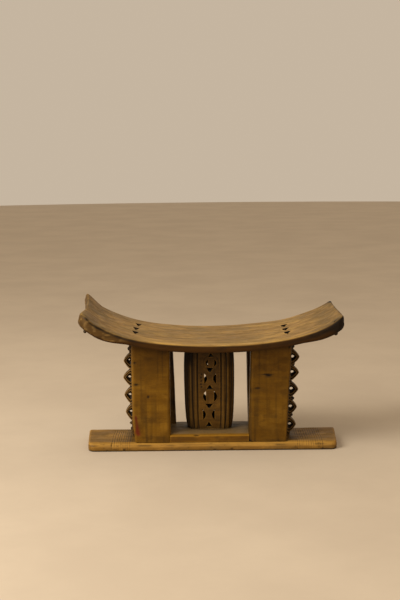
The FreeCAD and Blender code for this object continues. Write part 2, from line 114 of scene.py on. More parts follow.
def uneven(points, base, swing, cell, seed):
    """Smooth random values around base, at most swing away from it."""
    return base + swing * random_field(points, cell, seed)


def spots(points, gain, shift, cell, seed):
    """Random spots: 1 inside them and 0 outside, larger the larger shift is, crisper the larger gain is."""
    return smooth(random_field(points, cell, seed) * gain + shift)


def tool_marks(points, seed, wander=0.5, facets=0.35, cell=16.0):
    """How far a hand-cut surface stands off the true one: a slow wander and shallow blade facets."""
    slow = random_field(points, (90.0, 60.0, 60.0), seed)
    blade = np.abs(random_field(points, (1.8 * cell, cell, cell), seed + 1))
    fine = random_field(points, (12.0, 5.0, 5.0), seed + 2)
    return wander * slow + facets * (blade - 0.4) + 0.12 * facets * fine


def band(value, middle, width):
    """1 where value is middle, fading to 0 on both sides over about width."""
    return np.exp(-(((value - middle) / width) ** 2))


def groove(distance, width):
    """1 in the middle of a V groove of this width, 0 outside it."""
    return np.clip(1.0 - np.abs(distance) / (0.5 * width), 0.0, 1.0)


def blob(points, centre, size):
    """1 at centre, fading to 0 over the lengths size."""
    away = (points - np.array(centre)) / np.array(size)
    return np.exp(-np.sum(away * away, axis=1))


# ---------------------------------------------------------------- the seat's curve


def seat_arc(x, depth):
    """Height of the seat's curve a depth below its top, its arcs kept concentric."""
    x = np.abs(x)
    middle = MIDDLE_HEIGHT + MIDDLE_RADIUS - np.sqrt((MIDDLE_RADIUS + depth) ** 2 - x**2)
    reach = np.clip(x - END_CENTRE_X, 0.0, END_RADIUS)
    end = END_CENTRE_Z - np.sqrt((END_RADIUS + depth) ** 2 - reach**2)
    return np.where(x < BEND_HALF + depth * math.sin(BEND_TURN), middle, end)


def seat_twist(x, y):
    """The carver's uneven hand: how much higher or lower the seat is than the true curve.

    Each end has one law along its front edge and one along its rear edge, out from the middle."""
    back = 0.5 + 0.5 * y / HALF_WIDTH
    out = np.abs(x)
    left_front = 0.5 + 3.5 * smooth((out - 110.0) / 140.0)
    left_rear = 2.0 + 3.3 * smooth((out - 110.0) / 100.0) + 8.0 * smooth((out - 232.0) / 34.0)
    right_front = 0.3 - 1.6 * smooth(out / 120.0) - 4.0 * smooth((out - 170.0) / 80.0)
    right_rear = 2.2 - 1.2 * smooth((out - 80.0) / 80.0) - 7.5 * smooth((out - 190.0) / 85.0)
    front = np.where(x < 0, left_front, right_front)
    rear = np.where(x < 0, left_rear, right_rear)
    join = smooth(out / 30.0)
    level = front + (rear - front) * back
    flat = 0.4 + 1.7 * back
    nose = 7.0 * smooth((-x - 232.0) / 30.0) - 4.5 * smooth((-x - 248.0) / 16.0)
    return flat + (level - flat) * join + nose * smooth((-y - 22.0) / 66.0)


def seat_thickness(x, y):
    """Thin along the front and back edges, thicker at the ends and in the middle of the width."""
    left_edge = 15.5 - band(x, -168.0, 22.0)
    left_edge += 8.2 * smooth((-x - 160.0) / 66.0) + 3.0 * smooth((-x - 236.0) / 22.0)
    left_edge -= 3.8 * smooth((-x - 248.0) / 16.0)
    right_edge = 15.5 + 6.5 * smooth((x - 175.0) / 75.0)
    edge = np.where(x < 0, left_edge, right_edge)
    core = CORE_THICKNESS + 1.5 * smooth((np.abs(x) - 170.0) / 80.0)
    inwards = smooth((HALF_WIDTH - np.abs(y)) / (HALF_WIDTH - CORE_HALF))
    return edge + (core - edge) * inwards


def seat_top(x, y):
    return seat_arc(x, 0.0) + seat_twist(x, y)


def seat_underside(x, y):
    return seat_arc(x, seat_thickness(x, y)) + seat_twist(x, y)


def plinth_top(y):
    """Height of the plinth's crowned top."""
    crown = PLINTH_HIGH[2] - PLINTH_EDGE
    return PLINTH_EDGE + crown * (1.0 - (y / PLINTH_HIGH[1]) ** 2)


# ---------------------------------------------------------------- blocks


def spread(half, rim, corner, step, fine=1.7):
    """Places of a block's grid lines along one axis: close together at the rim and in the corners."""
    inner = half - corner
    middle = np.linspace(-inner, inner, 2 * math.ceil(inner / step) + 1)
    zone = np.linspace(inner, half - rim, math.ceil((corner - rim) / fine) + 1)[1:]
    end = half - rim + rim * np.tan(np.linspace(0.0, math.pi / 4, 5))[1:]
    tail = np.concatenate([zone, end])
    return np.concatenate([-tail[::-1], middle, tail])


def block(xs, ys, zs):
    """The skin of a box whose grid lines stand at xs, ys and zs: its points and its quads."""
    counts = (len(xs), len(ys), len(zs))
    sides = []
    for axis in range(3):
        across, up = (axis + 1) % 3, (axis + 2) % 3
        rows, columns = np.meshgrid(np.arange(counts[across] - 1), np.arange(counts[up] - 1), indexing="ij")
        for end in (0, counts[axis] - 1):
            turn = ((0, 0), (1, 0), (1, 1), (0, 1)) if end else ((0, 0), (0, 1), (1, 1), (1, 0))
            quads = np.zeros((rows.size, 4, 3), int)
            quads[:, :, axis] = end
            for place, (step_across, step_up) in enumerate(turn):
                quads[:, place, across] = rows.ravel() + step_across
                quads[:, place, up] = columns.ravel() + step_up
            sides.append(quads)
    quads = np.concatenate(sides)
    code = (quads[..., 0] * counts[1] + quads[..., 1]) * counts[2] + quads[..., 2]
    used, faces = np.unique(code, return_inverse=True)
    rest, along_z = np.divmod(used, counts[2])
    along_x, along_y = np.divmod(rest, counts[1])
    points = np.stack([xs[along_x], ys[along_y], zs[along_z]], axis=1)
    return points, faces.reshape(code.shape)


def rounded(points, half, corner, rim):
    """Rounds a block's upright corners and its rims; corner may be one radius or one per point."""
    size = np.abs(points)
    sign = np.sign(points)
    corner = np.broadcast_to(corner, len(points))
    rim = np.minimum(rim, corner)
    flat = half[:2] - corner[:, None]
    out = np.clip(size[:, :2] - flat, 0.0, None)
    length = np.hypot(out[:, 0], out[:, 1])
    direction = out / np.where(length > 0, length, 1.0)[:, None]
    reach = out.max(axis=1)
    past_rim = np.clip(reach - (corner - rim), 0.0, None)
    past_top = np.clip(size[:, 2] - (half[2] - rim), 0.0, None)
    span = np.hypot(past_rim, past_top)
    shrink = np.maximum(past_rim, past_top) / np.where(span > 0, span, 1.0)
    reach = np.minimum(reach, corner - rim) + past_rim * shrink
    height = np.minimum(size[:, 2], half[2] - rim) + past_top * shrink
    plan = np.minimum(size[:, :2], flat) + direction * reach[:, None]
    return np.column_stack([plan, height]) * sign


def rounded_block(half, corner, rim, steps, fine=(1.7, 1.7)):
    """A rounded block with grid steps along X, Y and Z, and finer ones in its corners."""
    xs = spread(half[0], rim, corner, steps[0], fine[0])
    ys = spread(half[1], rim, corner, steps[1], fine[1])
    zs = spread(half[2], rim, rim + 0.4, steps[2])
    points, faces = block(xs, ys, zs)
    return rounded(points, half, corner, rim), faces


# ---------------------------------------------------------------- meshes


def new_piece(name, points, faces):
    """A mesh object from points in millimetres."""
    mesh = bpy.data.meshes.new(name)
    mesh.from_pydata((np.asarray(points) * MM).tolist(), [], [list(map(int, face)) for face in faces])
    mesh.update()
    piece = bpy.data.objects.new(name, mesh)
    bpy.context.scene.collection.objects.link(piece)
    return piece


def points_of(piece):
    flat = np.empty(len(piece.data.vertices) * 3)
    piece.data.vertices.foreach_get("co", flat)
    return flat.reshape(-1, 3) / MM


def normals_of(piece):
    flat = np.empty(len(piece.data.vertices) * 3)
    piece.data.vertex_normals.foreach_get("vector", flat)
    return flat.reshape(-1, 3)


def push(piece, amount):
    """Moves every point along its normal by amount(points, normals) millimetres."""
    points = points_of(piece)
    normals = normals_of(piece)
    points += normals * amount(points, normals)[:, None]
    piece.data.vertices.foreach_set("co", (points * MM).ravel())
    piece.data.update()


def keep_modified(piece):
    """Makes the result of the piece's modifiers its mesh."""
    depsgraph = bpy.context.evaluated_depsgraph_get()
    result = bpy.data.meshes.new_from_object(piece.evaluated_get(depsgraph), depsgraph=depsgraph)
    piece.modifiers.clear()
    piece.data = result


def gather(solids):
    """Joins solids, each a pair of points and faces, into one pair."""
    points = []
    faces = []
    for solid_points, solid_faces in solids:
        faces += [[index + len(points) for index in face] for face in solid_faces]
        points += list(solid_points)
    return points, faces


def cut(piece, solids):
    """Cuts solids that don't touch each other out of the piece.

    The faces of the cut get the piece's second material slot."""
    points, faces = gather(solids)
    tool = new_piece("tool", points, faces)
    for part in (piece, tool):
        while len(part.data.materials) < 2:
            part.data.materials.append(bpy.data.materials.new("slot"))
    tool.data.polygons.foreach_set("material_index", [1] * len(tool.data.polygons))
    modifier = piece.modifiers.new("cut", "BOOLEAN")
    modifier.operation = "DIFFERENCE"
    modifier.solver = "EXACT"
    modifier.object = tool
    keep_modified(piece)
    bpy.data.objects.remove(tool)


def prism(outline, shift, shrink=1.0):
    """A solid from a closed outline of 3-D points to the same outline moved by shift and shrunk."""
    near = np.array(outline, float)
    centre = near.mean(axis=0)
    far = centre + (near - centre) * shrink + np.array(shift)
    count = len(near)
    faces = [[i, (i + 1) % count, (i + 1) % count + count, i + count] for i in range(count)]
    faces += [list(range(count))[::-1], list(range(count, 2 * count))]
    area = np.cross(near - centre, np.roll(near, -1, axis=0) - centre).sum(axis=0)
    if np.dot(area, shift) < 0:
        faces = [face[::-1] for face in faces]
    return np.concatenate([near, far]), faces


def turned(centre, profile, segments, reach=(1.0, 1.0)):
    """A solid turned around an upright axis: profile is (distance out, height), on the axis at both ends."""
    points = [(*centre, profile[0][1])]
    for out, z in profile[1:-1]:
        for segment in range(segments):
            turn = 2.0 * math.pi * segment / segments
            x = centre[0] + reach[0] * out * math.cos(turn)
            points.append((x, centre[1] + reach[1] * out * math.sin(turn), z))
    points.append((*centre, profile[-1][1]))
    rings = len(profile) - 2
    last = 1 + (rings - 1) * segments
    faces = []
    for segment in range(segments):
        after = (segment + 1) % segments
        faces.append([0, 1 + after, 1 + segment])
        for ring in range(rings - 1):
            low, high = 1 + ring * segments, 1 + (ring + 1) * segments
            faces.append([low + segment, low + after, high + after, high + segment])
        faces.append([len(points) - 1, last + segment, last + after])
    return np.array(points), faces


def curvature(piece):
    """How strongly the skin bends at every point, per millimetre: positive on ridges, negative in cuts."""
    points = points_of(piece)
    normals = normals_of(piece)
    ends = np.empty(len(piece.data.edges) * 2, int)
    piece.data.edges.foreach_get("vertices", ends)
    first, second = ends.reshape(-1, 2).T
    along = points[second] - points[first]
    length2 = np.maximum(np.sum(along * along, axis=1), 0.04)
    total = np.zeros(len(points))
    count = np.zeros(len(points))
    for start, direction in ((first, along), (second, -along)):
        bend = -2.0 * np.sum(normals[start] * direction, axis=1) / length2
        np.add.at(total, start, bend)
        np.add.at(count, start, 1.0)
    bend = total / np.maximum(count, 1.0)
    for _ in range(2):
        spread_out = bend.copy()
        np.add.at(spread_out, first, bend[second])
        np.add.at(spread_out, second, bend[first])
        bend = spread_out / (count + 1.0)
    return bend


def set_mask(piece, name, values, in_cuts=None):
    """Stores one value per point, or in_cuts on the corners of the faces that a cut left."""
    mesh = piece.data
    owner = np.empty(len(mesh.loops), int)
    mesh.loops.foreach_get("vertex_index", owner)
    values = values[owner]
    if in_cuts is not None:
        slot = np.empty(len(mesh.polygons), int)
        size = np.empty(len(mesh.polygons), int)
        mesh.polygons.foreach_get("material_index", slot)
        mesh.polygons.foreach_get("loop_total", size)
        values = np.where(np.repeat(slot, size) == 1, in_cuts, values)
    mask = mesh.attributes.new(name, "FLOAT", "CORNER")
    mask.data.foreach_set("value", np.clip(values, 0.0, 1.0).astype(np.float32))


def finish_piece(
    piece, node, slot, wear_and_highlight=0.0, grime_and_shade=0.0, deep=0.0, stain=0.0, dust=0.0, dark_cuts=0.9, ridges=4.0
):
    """Shades and masks a finished piece, gives it its material, hangs it under the root body and hides its
    CAD part.

    The masks add to what the shape gives: wear and painted highlights on ridges, grime and painted shade in
    hollows, and painted shade, dark and deep brown, on the faces a cut left."""
    mesh = piece.data
    points = points_of(piece)
    zero = np.zeros(len(points))
    bend = curvature(piece)
    patchy = uneven(points, 0.65, 0.5, 22.0, 91)
    # Ridges get painted highlights. Hollows and the faces a cut left, inside pits and piercings, get painted
    # shade.
    set_mask(piece, "wear_and_highlight", np.clip(bend * ridges, 0, 1) * patchy + zero + wear_and_highlight, 0.0)
    set_mask(piece, "grime_and_shade", np.clip(-bend * 5.0, 0, 1) + zero + grime_and_shade, dark_cuts)
    set_mask(piece, "deep", zero + deep, 1.0)
    set_mask(piece, "stain", zero + stain, 0.0)
    set_mask(piece, "dust", zero + dust, 0.0)
    mesh.polygons.foreach_set("material_index", [0] * len(mesh.polygons))
    shape = bmesh.new()
    shape.from_mesh(mesh)
    for edge in shape.edges:
        edge.smooth = edge.calc_face_angle(0.0) < math.radians(38)
    for face in shape.faces:
        face.smooth = True
    shape.to_mesh(mesh)
    shape.free()
    mesh.materials.clear()
    mesh.materials.append(MATERIALS[slot])
    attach(piece, "root")
    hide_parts(node)


# ---------------------------------------------------------------- wood

DUST_COLOUR = (0.20, 0.135, 0.06)
STAIN_COLOUR = (0.13, 0.020, 0.006)
# Near black: grime, and painted shade wherever the grime mask carries it.
GRIME_AND_SHADE_COLOUR = (0.010, 0.006, 0.003)


def add_node(tree, kind, values=None, **settings):
    node = tree.nodes.new(kind)
    for name, value in settings.items():
        setattr(node, name, value)
    for socket, value in (values or {}).items():
        node.inputs[socket].default_value = value
    return node


def blend_colours(tree, factor, first, second):
    """Mixes two colours, each a socket or an RGB triple, by the socket factor."""
    node = add_node(tree, "ShaderNodeMix", data_type="RGBA")
    tree.links.new(factor, node.inputs[0])
    for socket, colour in ((node.inputs[6], first), (node.inputs[7], second)):
        if isinstance(colour, tuple):
            socket.default_value = (*colour, 1.0)
        else:
            tree.links.new(colour, socket)
    return node.outputs[2]


def stretched(tree, coordinates, scale, offset=(0.0, 0.0, 0.0)):
    node = add_node(tree, "ShaderNodeMapping", {"Scale": scale, "Location": offset})
    tree.links.new(coordinates, node.inputs["Vector"])
    return node.outputs["Vector"]


def noise(tree, vector, scale, detail=4.0, rough=0.55, distortion=0.0):
    node = add_node(
        tree,
        "ShaderNodeTexNoise",
        {"Scale": scale, "Detail": detail, "Roughness": rough, "Distortion": distortion},
    )
    tree.links.new(vector, node.inputs["Vector"])
    return node.outputs["Fac"]


def ramp(tree, value, low, high, from_value=0.0, to_value=1.0):
    """Turns low..high of a value into from_value..to_value."""
    node = add_node(
        tree,
        "ShaderNodeMapRange",
        {"From Min": low, "From Max": high, "To Min": from_value, "To Max": to_value},
        interpolation_type="SMOOTHSTEP",
    )
    tree.links.new(value, node.inputs["Value"])
    return node.outputs["Result"]


def multiply(tree, first, second):
    node = add_node(tree, "ShaderNodeMath", operation="MULTIPLY")
    for socket, value in zip(node.inputs, (first, second)):
        if isinstance(value, float):
            socket.default_value = value
        else:
            tree.links.new(value, socket)
    return node.outputs[0]


def mask(tree, name):
    return add_node(tree, "ShaderNodeAttribute", attribute_name=name).outputs["Fac"]


def wood(name, light, dark, patina, deep, gold, roughness, brushed=0.0):
    """Old hand-polished wood, its grain along X through the whole block it was carved from."""
    material = bpy.data.materials.new(name)
    material.use_nodes = True
    tree = material.node_tree
    shader = tree.nodes["Principled BSDF"]
    place = add_node(tree, "ShaderNodeTexCoord").outputs["Object"]

    def texture(stretch, *settings):
        return noise(tree, stretched(tree, place, stretch), *settings)

    grain = texture((5.0, 70.0, 70.0), 1.0, 8.0, 0.66, 0.4)
    streaks = texture((9.0, 420.0, 420.0), 1.0, 4.0, 0.6)
    scrapes = texture((230.0, 230.0, 7.0), 1.0, 4.0, 0.65)
    pores = texture((120.0, 1500.0, 1500.0), 1.0, 2.0, 0.5)
    patches = texture((0.8, 1.0, 1.0), 14.0, 7.0, 0.62, 0.5)
    smudges = texture((0.6, 1.0, 1.0), 55.0, 6.0, 0.65)
    rubbed = texture((0.5, 1.0, 1.0), 26.0, 6.0, 0.6, 0.6)
    rings_node = add_node(
        tree,
        "ShaderNodeTexWave",
        {"Scale": 17.0, "Distortion": 6.0, "Detail": 4.0, "Detail Scale": 1.3},
        wave_type="RINGS",
        rings_direction="X",
    )
    rings_at = stretched(tree, place, (0.35, 1.0, 1.0), (0.0, 0.035, 0.09))
    tree.links.new(rings_at, rings_node.inputs["Vector"])
    rings = rings_node.outputs["Fac"]

    colour = dark
    for amount, over in (
        (ramp(tree, grain, 0.36, 0.64), light),
        (ramp(tree, rings, 0.5, 1.0, 0.0, 0.4), dark),
        (ramp(tree, patches, 0.45, 0.64, 0.0, 0.8), patina),
        (ramp(tree, rubbed, 0.48, 0.70, 0.0, 0.42), gold),
        (ramp(tree, streaks, 0.5, 0.72, 0.0, 0.5), dark),
        (ramp(tree, scrapes, 0.42, 0.68, 0.0, brushed), dark),
        (ramp(tree, smudges, 0.50, 0.66, 0.0, 0.75), patina),
        (mask(tree, "dust"), DUST_COLOUR),
        # The wear mask also carries painted highlights, and the grime mask carries painted shade.
        (multiply(tree, mask(tree, "wear_and_highlight"), 0.85), gold),
        (mask(tree, "deep"), deep),
        (mask(tree, "stain"), STAIN_COLOUR),
        (mask(tree, "grime_and_shade"), GRIME_AND_SHADE_COLOUR),
        (ramp(tree, pores, 0.58, 0.72, 0.0, 0.35), deep),
    ):
        colour = blend_colours(tree, amount, colour, over)
    tree.links.new(colour, shader.inputs["Base Color"])

    rough = ramp(tree, smudges, 0.3, 0.7, roughness - 0.08, roughness + 0.12)
    tree.links.new(rough, shader.inputs["Roughness"])
    shader.inputs["Specular IOR Level"].default_value = 0.11

    normal = None
    for relief, strength, depth in ((streaks, 0.5, 0.0005), (pores, 0.35, 0.0003), (smudges, 0.35, 0.0012)):
        bump = add_node(tree, "ShaderNodeBump", {"Strength": strength, "Distance": depth})
        tree.links.new(relief, bump.inputs["Height"])
        if normal:
            tree.links.new(normal, bump.inputs["Normal"])
        normal = bump.outputs["Normal"]
    tree.links.new(normal, shader.inputs["Normal"])
    return material


# One wood, browned and worn differently from member to member: its light, dark, patina, deep and gold
# colours, its roughness and, where it has been brushed along the upright, how strongly that shows.
WOODS = {
    "seat_wood": (
        (0.41, 0.24, 0.070), (0.22, 0.125, 0.036), (0.20, 0.128, 0.046), (0.042, 0.016, 0.001),
        (0.54, 0.33, 0.085), 0.5,
    ),
    "base_wood": (
        (0.30, 0.155, 0.03), (0.17, 0.082, 0.012), (0.16, 0.088, 0.022), (0.06, 0.030, 0.006),
        (0.47, 0.25, 0.045), 0.5,
    ),
    "plinth_wood": (
        (0.165, 0.072, 0.006), (0.10, 0.040, 0.003), (0.09, 0.042, 0.006), (0.04, 0.018, 0.003),
        (0.30, 0.145, 0.012), 0.5,
    ),
    "post_wood": (
        (0.165, 0.078, 0.0045), (0.125, 0.055, 0.0028), (0.10, 0.045, 0.003), (0.03, 0.012, 0.001),
        (0.27, 0.135, 0.014), 0.42, 0.5,
    ),
    "column_wood": (
        (0.13, 0.062, 0.009), (0.065, 0.030, 0.0045), (0.055, 0.029, 0.007), (0.022, 0.012, 0.003),
        (0.23, 0.12, 0.018), 0.45, 0.5,
    ),
    "lattice_wood": (
        (0.14, 0.072, 0.018), (0.07, 0.034, 0.009), (0.055, 0.029, 0.009), (0.022, 0.012, 0.005),
        (0.25, 0.14, 0.038), 0.5,
    ),
    "lug_wood": (
        (0.03, 0.02, 0.012), (0.018, 0.012, 0.007), (0.015, 0.010, 0.006), (0.01, 0.007, 0.005),
        (0.07, 0.045, 0.02), 0.5,
    ),
}
MATERIALS = {slot: wood(slot, *look) for slot, look in WOODS.items()}


# ---------------------------------------------------------------- seat

SEAT_RIM = 4.6
# Corner radii from above: near and far.
LEFT_CORNERS = (26.0, 5.0)
RIGHT_CORNERS = (15.0, 7.0)
END_ZONE = 190.0
END_Y = (-120.0, -60.0, 0.0, 60.0, 120.0)
LEFT_END_TOP = curve_through(END_Y, (265.5, 262.0, 261.0, 264.0, 271.0), 4)
RIGHT_END_TOP = curve_through(END_Y, (268.0, 268.0, 267.5, 267.0, 267.5), 4)
# Where the pits are, and their outlines from above.
LEFT_PITS = ((-154.5, 56.0), (-157.0, 3.0), (-156.0, -43.0))
RIGHT_PITS = ((156.5, 36.0), (156.5, -8.0), (157.5, -50.0))
LEFT_PIT = ((-7.2, 15.0), (7.4, 14.0), (5.0, -2.0), (0.6, -17.0), (-3.4, -3.0))
RIGHT_PIT = ((-6.0, 13.0), (5.0, 14.0), (10.0, 9.0), (5.0, -2.0), (1.5, -16.0), (-4.6, -5.0))
PIT_DEPTH = 12.0
# A small round nick in the near right corner.
NICK_PLACE = (249.0, -112.5)
NICK_HALF = (2.2, 3.0)


def shape_seat(points, half_height):
    """Bends a flat rounded block into the seat: longer or shorter ends, then height and thickness."""
    x, y, level = points.T
    level = 0.5 + 0.5 * level / half_height
    lean = np.where(x < 0, 6.0, 3.5 + 2.5 * y / HALF_WIDTH)
    end = np.where(x < 0, LEFT_END_TOP(y), RIGHT_END_TOP(y)) + lean * (1.0 - level)
    past = np.clip((np.abs(x) - END_ZONE) / (HALF_LENGTH - END_ZONE), 0.0, None)
    x = np.where(past > 0, np.sign(x) * (END_ZONE + past * (end - END_ZONE)), x)
    under = seat_underside(x, y)
    return np.column_stack([x, y, under + level * (seat_top(x, y) - under)])


def top_height(x, y):
    """Height of the seat's top over one place."""
    return float(seat_top(np.array([x]), np.array([y]))[0])


def seat_pits():
    """Six chip-cut pits, triangles on the left and skewed ones on the right, and a nick."""
    solids = []
    for places, outline in ((LEFT_PITS, LEFT_PIT), (RIGHT_PITS, RIGHT_PIT)):
        for x, y in places:
            top = top_height(x, y) + 4.0
            rim = [(x + dx, y + dy, top) for dx, dy in outline]
            solids.append(prism(rim, (0.0, 0.0, -PIT_DEPTH - 4.0), 0.75))
    top = top_height(*NICK_PLACE) + 3.0
    turns = np.linspace(0.0, 2.0 * math.pi, 9)[:-1]
    x, y = NICK_PLACE
    rim = [(x + NICK_HALF[0] * math.cos(turn), y + NICK_HALF[1] * math.sin(turn), top) for turn in turns]
    solids.append(prism(rim, (0.0, 0.0, -8.0), 0.8))
    return solids


def seat_marks(points, normals):
    """Tool marks, rougher on the sides and underneath."""
    steep = 1.0 - smooth(np.abs(normals[:, 2]) / 0.8)
    below = smooth(-normals[:, 2] / 0.5)
    amount = tool_marks(points, 11, 0.5, 0.22, 18.0)
    amount += steep * tool_marks(points, 14, 0.5, 0.9, 9.0)
    amount += below * tool_marks(points, 17, 0.2, 0.7, 14.0)
    return amount


def seat_masks(points, normals):
    """Where the seat is worn, dirty and deep brown, and where shade is painted on it."""
    x, y, z = points.T
    below = seat_top(x, y) - z
    sides = smooth((below - 0.3) / 2.6)
    top = 1.0 - sides
    near_front = y < -100.0

    wear_and_highlight = 0.62 * band(y, 2.0 - HALF_WIDTH, 26.0) * top
    wear_and_highlight *= uneven(points, 0.5, 0.8, (26.0, 9.0, 20.0), 38) * smooth((185.0 - np.abs(x)) / 60.0)

    chips = spots(points, 2.2, -0.5, (9.0, 8.0, 4.0), 34)
    lighter_left = np.clip(smooth((-x - 150.0) / 70.0) * (0.35 + 0.9 * chips), 0, 1)
    # The underside is made deep brown: painted shade under the seat.
    underneath = smooth((-normals[:, 2] - 0.2) / 0.4)
    deep = np.clip(sides * (1.0 - 0.6 * lighter_left) + 0.6 * underneath, 0, 1)

    grime_and_shade = 0.35 * sides * spots(points, 1.6, -0.1, (22.0, 14.0, 9.0), 35)
    grime_and_shade += 0.25 * smooth((x - 180.0) / 60.0) * sides
    grime_and_shade += 0.6 * band(below, 8.0, 4.5) * smooth((x - 90.0) / 80.0) * sides
    crack = band(below, uneven(points, 4.2, 1.2, (40.0, 30.0, 30.0), 39), 0.9)
    grime_and_shade += 0.7 * crack * near_front * spots(points, 2.2, 0.0, (30.0, 9.0, 9.0), 40)
    # A dark line in the crease along the top of the left front edge: painted shade under its overhang.
    crease_shade = 0.9 * band(below, 3.2, 2.8) * near_front
    crease_shade *= smooth((-x - 120.0) / 60.0) * smooth((x + 262.0) / 12.0)
    grime_and_shade += crease_shade * uneven(points, 0.7, 0.5, (8.0, 9.0, 6.0), 43)
    # The left end's top greys and darkens: partly patina, partly painted shade on its slope that faces away
    # from the key light.
    greyed_and_shaded = 0.3 * smooth((-x - 165.0) / 85.0) * uneven(points, 0.8, 0.5, (40.0, 30.0, 30.0), 37)
    grime_and_shade += (greyed_and_shaded + 0.3 * smooth((x - 175.0) / 75.0)) * top
    end_edge = 0.75 * band(x, RIGHT_END_TOP(y) - 1.0, 3.2) * (x > 0)
    grime_and_shade += end_edge * uneven(points, 0.5, 0.8, 12.0, 36)
    near_corner = blob(points, (262, -116, 272), (24, 16, 22))
    grime_and_shade += near_corner * uneven(points, 0.8, 0.4, 9.0, 31)
    far_tip = blob(points, (266, 112, 287), (15, 28, 17))
    grime_and_shade += far_tip * uneven(points, 0.5, 0.5, 10.0, 32)
    far_edge = 0.5 * smooth((y - HALF_WIDTH + 6.0) / 4.0)
    grime_and_shade += far_edge * uneven(points, 0.7, 0.5, 14.0, 33)
    return wear_and_highlight, grime_and_shade, deep


def make_seat():
    half = np.array([HALF_LENGTH, HALF_WIDTH, 7.0])
    xs, ys = (spread(reach, SEAT_RIM, 18.0, 2.6) for reach in half[:2])
    zs = spread(half[2], SEAT_RIM, SEAT_RIM + 0.4, 1.2)
    points, faces = block(xs, ys, zs)
    left, near = points[:, 0] < 0, points[:, 1] < 0
    corner = np.where(left, np.where(near, *LEFT_CORNERS), np.where(near, *RIGHT_CORNERS))
    points = rounded(points, half, corner, SEAT_RIM)
    seat = new_piece("carved_seat", shape_seat(points, half[2]), faces)
    push(seat, seat_marks)
    cut(seat, seat_pits())
    wear_and_highlight, grime_and_shade, deep = seat_masks(points_of(seat), normals_of(seat))
    finish_piece(seat, "seat", "seat_wood", wear_and_highlight=wear_and_highlight, grime_and_shade=grime_and_shade, deep=deep, dark_cuts=1.0, ridges=1.6)


# ---------------------------------------------------------------- base board and plinth

BASE_RIM = 3.2
BASE_CORNER = 14.0
# Stretches of the board whose grid is fine enough for the hatching, and that grid's step.
HATCH_ZONES = ((-211.0, -165.0), (175.0, 235.0))
HATCH_STEP = 0.55
HATCH_WIDTH = 1.5
HATCH_DEPTH = 0.9
# Scratches along the board: y, then where each starts and ends.
CROSS_LINES = ((-36.0, -262.0, -160.0), (-45.0, -215.0, -160.0), (-47.0, 160.0, 262.0), (-39.0, 172.0, 240.0))
CROSS_WIDTH = 2.4
PLINTH_RIM = 2.0
PLINTH_CORNER = 6.0
PLINTH_CHIP = (-31.0, -59.0, 33.0)


def hatch_lines(start, end, spacing, seed):
    """Places of hand-cut parallel lines, slightly uneven."""
    places = np.arange(start, end, spacing)
    return places + np.random.default_rng(seed).uniform(-0.7, 0.7, len(places))


HATCH_LINES = (*hatch_lines(-207.0, -168.0, 4.6, 3), *hatch_lines(178.0, 232.0, 4.8, 4))


def hatching(points):
    """How deeply the board is cut at every point, 0 to 1."""
    x, y, _ = points.T
    wobble = 1.2 * random_field(points, (30.0, 25.0, 30.0), 41)
    depth = np.zeros(len(x))
    for place in HATCH_LINES:
        depth = np.maximum(depth, groove(x - place - wobble, HATCH_WIDTH))
    depth *= uneven(points, 0.52, 0.5, 15.0, 42)
    for place, start, end in CROSS_LINES:
        within = smooth((x - start) / 6.0) * smooth((end - x) / 6.0)
        depth = np.maximum(depth, within * groove(y - place - wobble, CROSS_WIDTH))
    return depth


def base_marks(points, normals):
    """Tool marks and hatching; the underside stays flat."""
    upright = 1.0 - np.abs(normals[:, 2])
    top = smooth(normals[:, 2] / 0.4)
    cuts = HATCH_DEPTH * hatching(points)
    amount = top * (tool_marks(points, 43, 0.35, 0.25, 20.0) - cuts)
    amount += upright * (tool_marks(points, 46, 0.4, 0.7, 8.0) - 0.3 * cuts)
    return np.where(normals[:, 2] < -0.7, 0.0, amount)


def base_masks(points):
    """Where the base board is worn and dirty, and where highlights and shade are painted on it."""
    x, y, z = points.T
    out = np.abs(x)
    on_top = smooth((z - BASE_TOP + 2.0) / 2.0)
    upper = smooth((z - BASE_TOP + 6.0) / 3.0)

    # A bright band along the rounded front top edge, and a little light on the front face: painted highlight.
    rim = band(y, -60.0, 4.5) * smooth((z - 8.0) / 4.0) * (0.7 + 0.4 * smooth(x / 200.0))
    wear_and_highlight = 0.05 * smooth((-y - 59.0) / 4.0) + 0.9 * rim
    wear_and_highlight *= uneven(points, 0.75, 0.4, (25.0, 9.0, 9.0), 48)

    grime_and_shade = 0.32 * hatching(points) * upper * uneven(points, 0.5, 0.7, (14.0, 12.0, 8.0), 49)
    # Darker on the top round the feet of the posts, the lattices and the plinth: painted shade.
    grime_and_shade += 0.5 * band(out, 168.0, 12.0) * smooth((y + 58.0) / 12.0) * on_top
    plinth_foot_shade = smooth((160.0 - out) / 6.0) * smooth((y + 62.0) / 3.0) * smooth((62.0 - y) / 3.0)
    grime_and_shade += 0.6 * plinth_foot_shade * on_top
    # A dark line along the foot: partly dark wood at the bottom edge, partly painted contact shadow.
    grime_and_shade += 0.9 * smooth((5.4 - z) / 4.6)
    grime_and_shade += 0.7 * spots(points, 2.0, -0.9, (7.0, 6.0, 4.0), 47) * smooth((-y - 58.0) / 4.0)
    # Darker towards the right: painted shadow of the seat and posts, away from the key light.
    grime_and_shade += 0.10 * smooth((x - 60.0) / 200.0)
    streak = 0.6 * band(z, 12.0, 1.6) * (y < -55.0)
    grime_and_shade += streak * spots(points, 1.8, 0.0, (28.0, 20.0, 20.0), 50)
    return wear_and_highlight, grime_and_shade


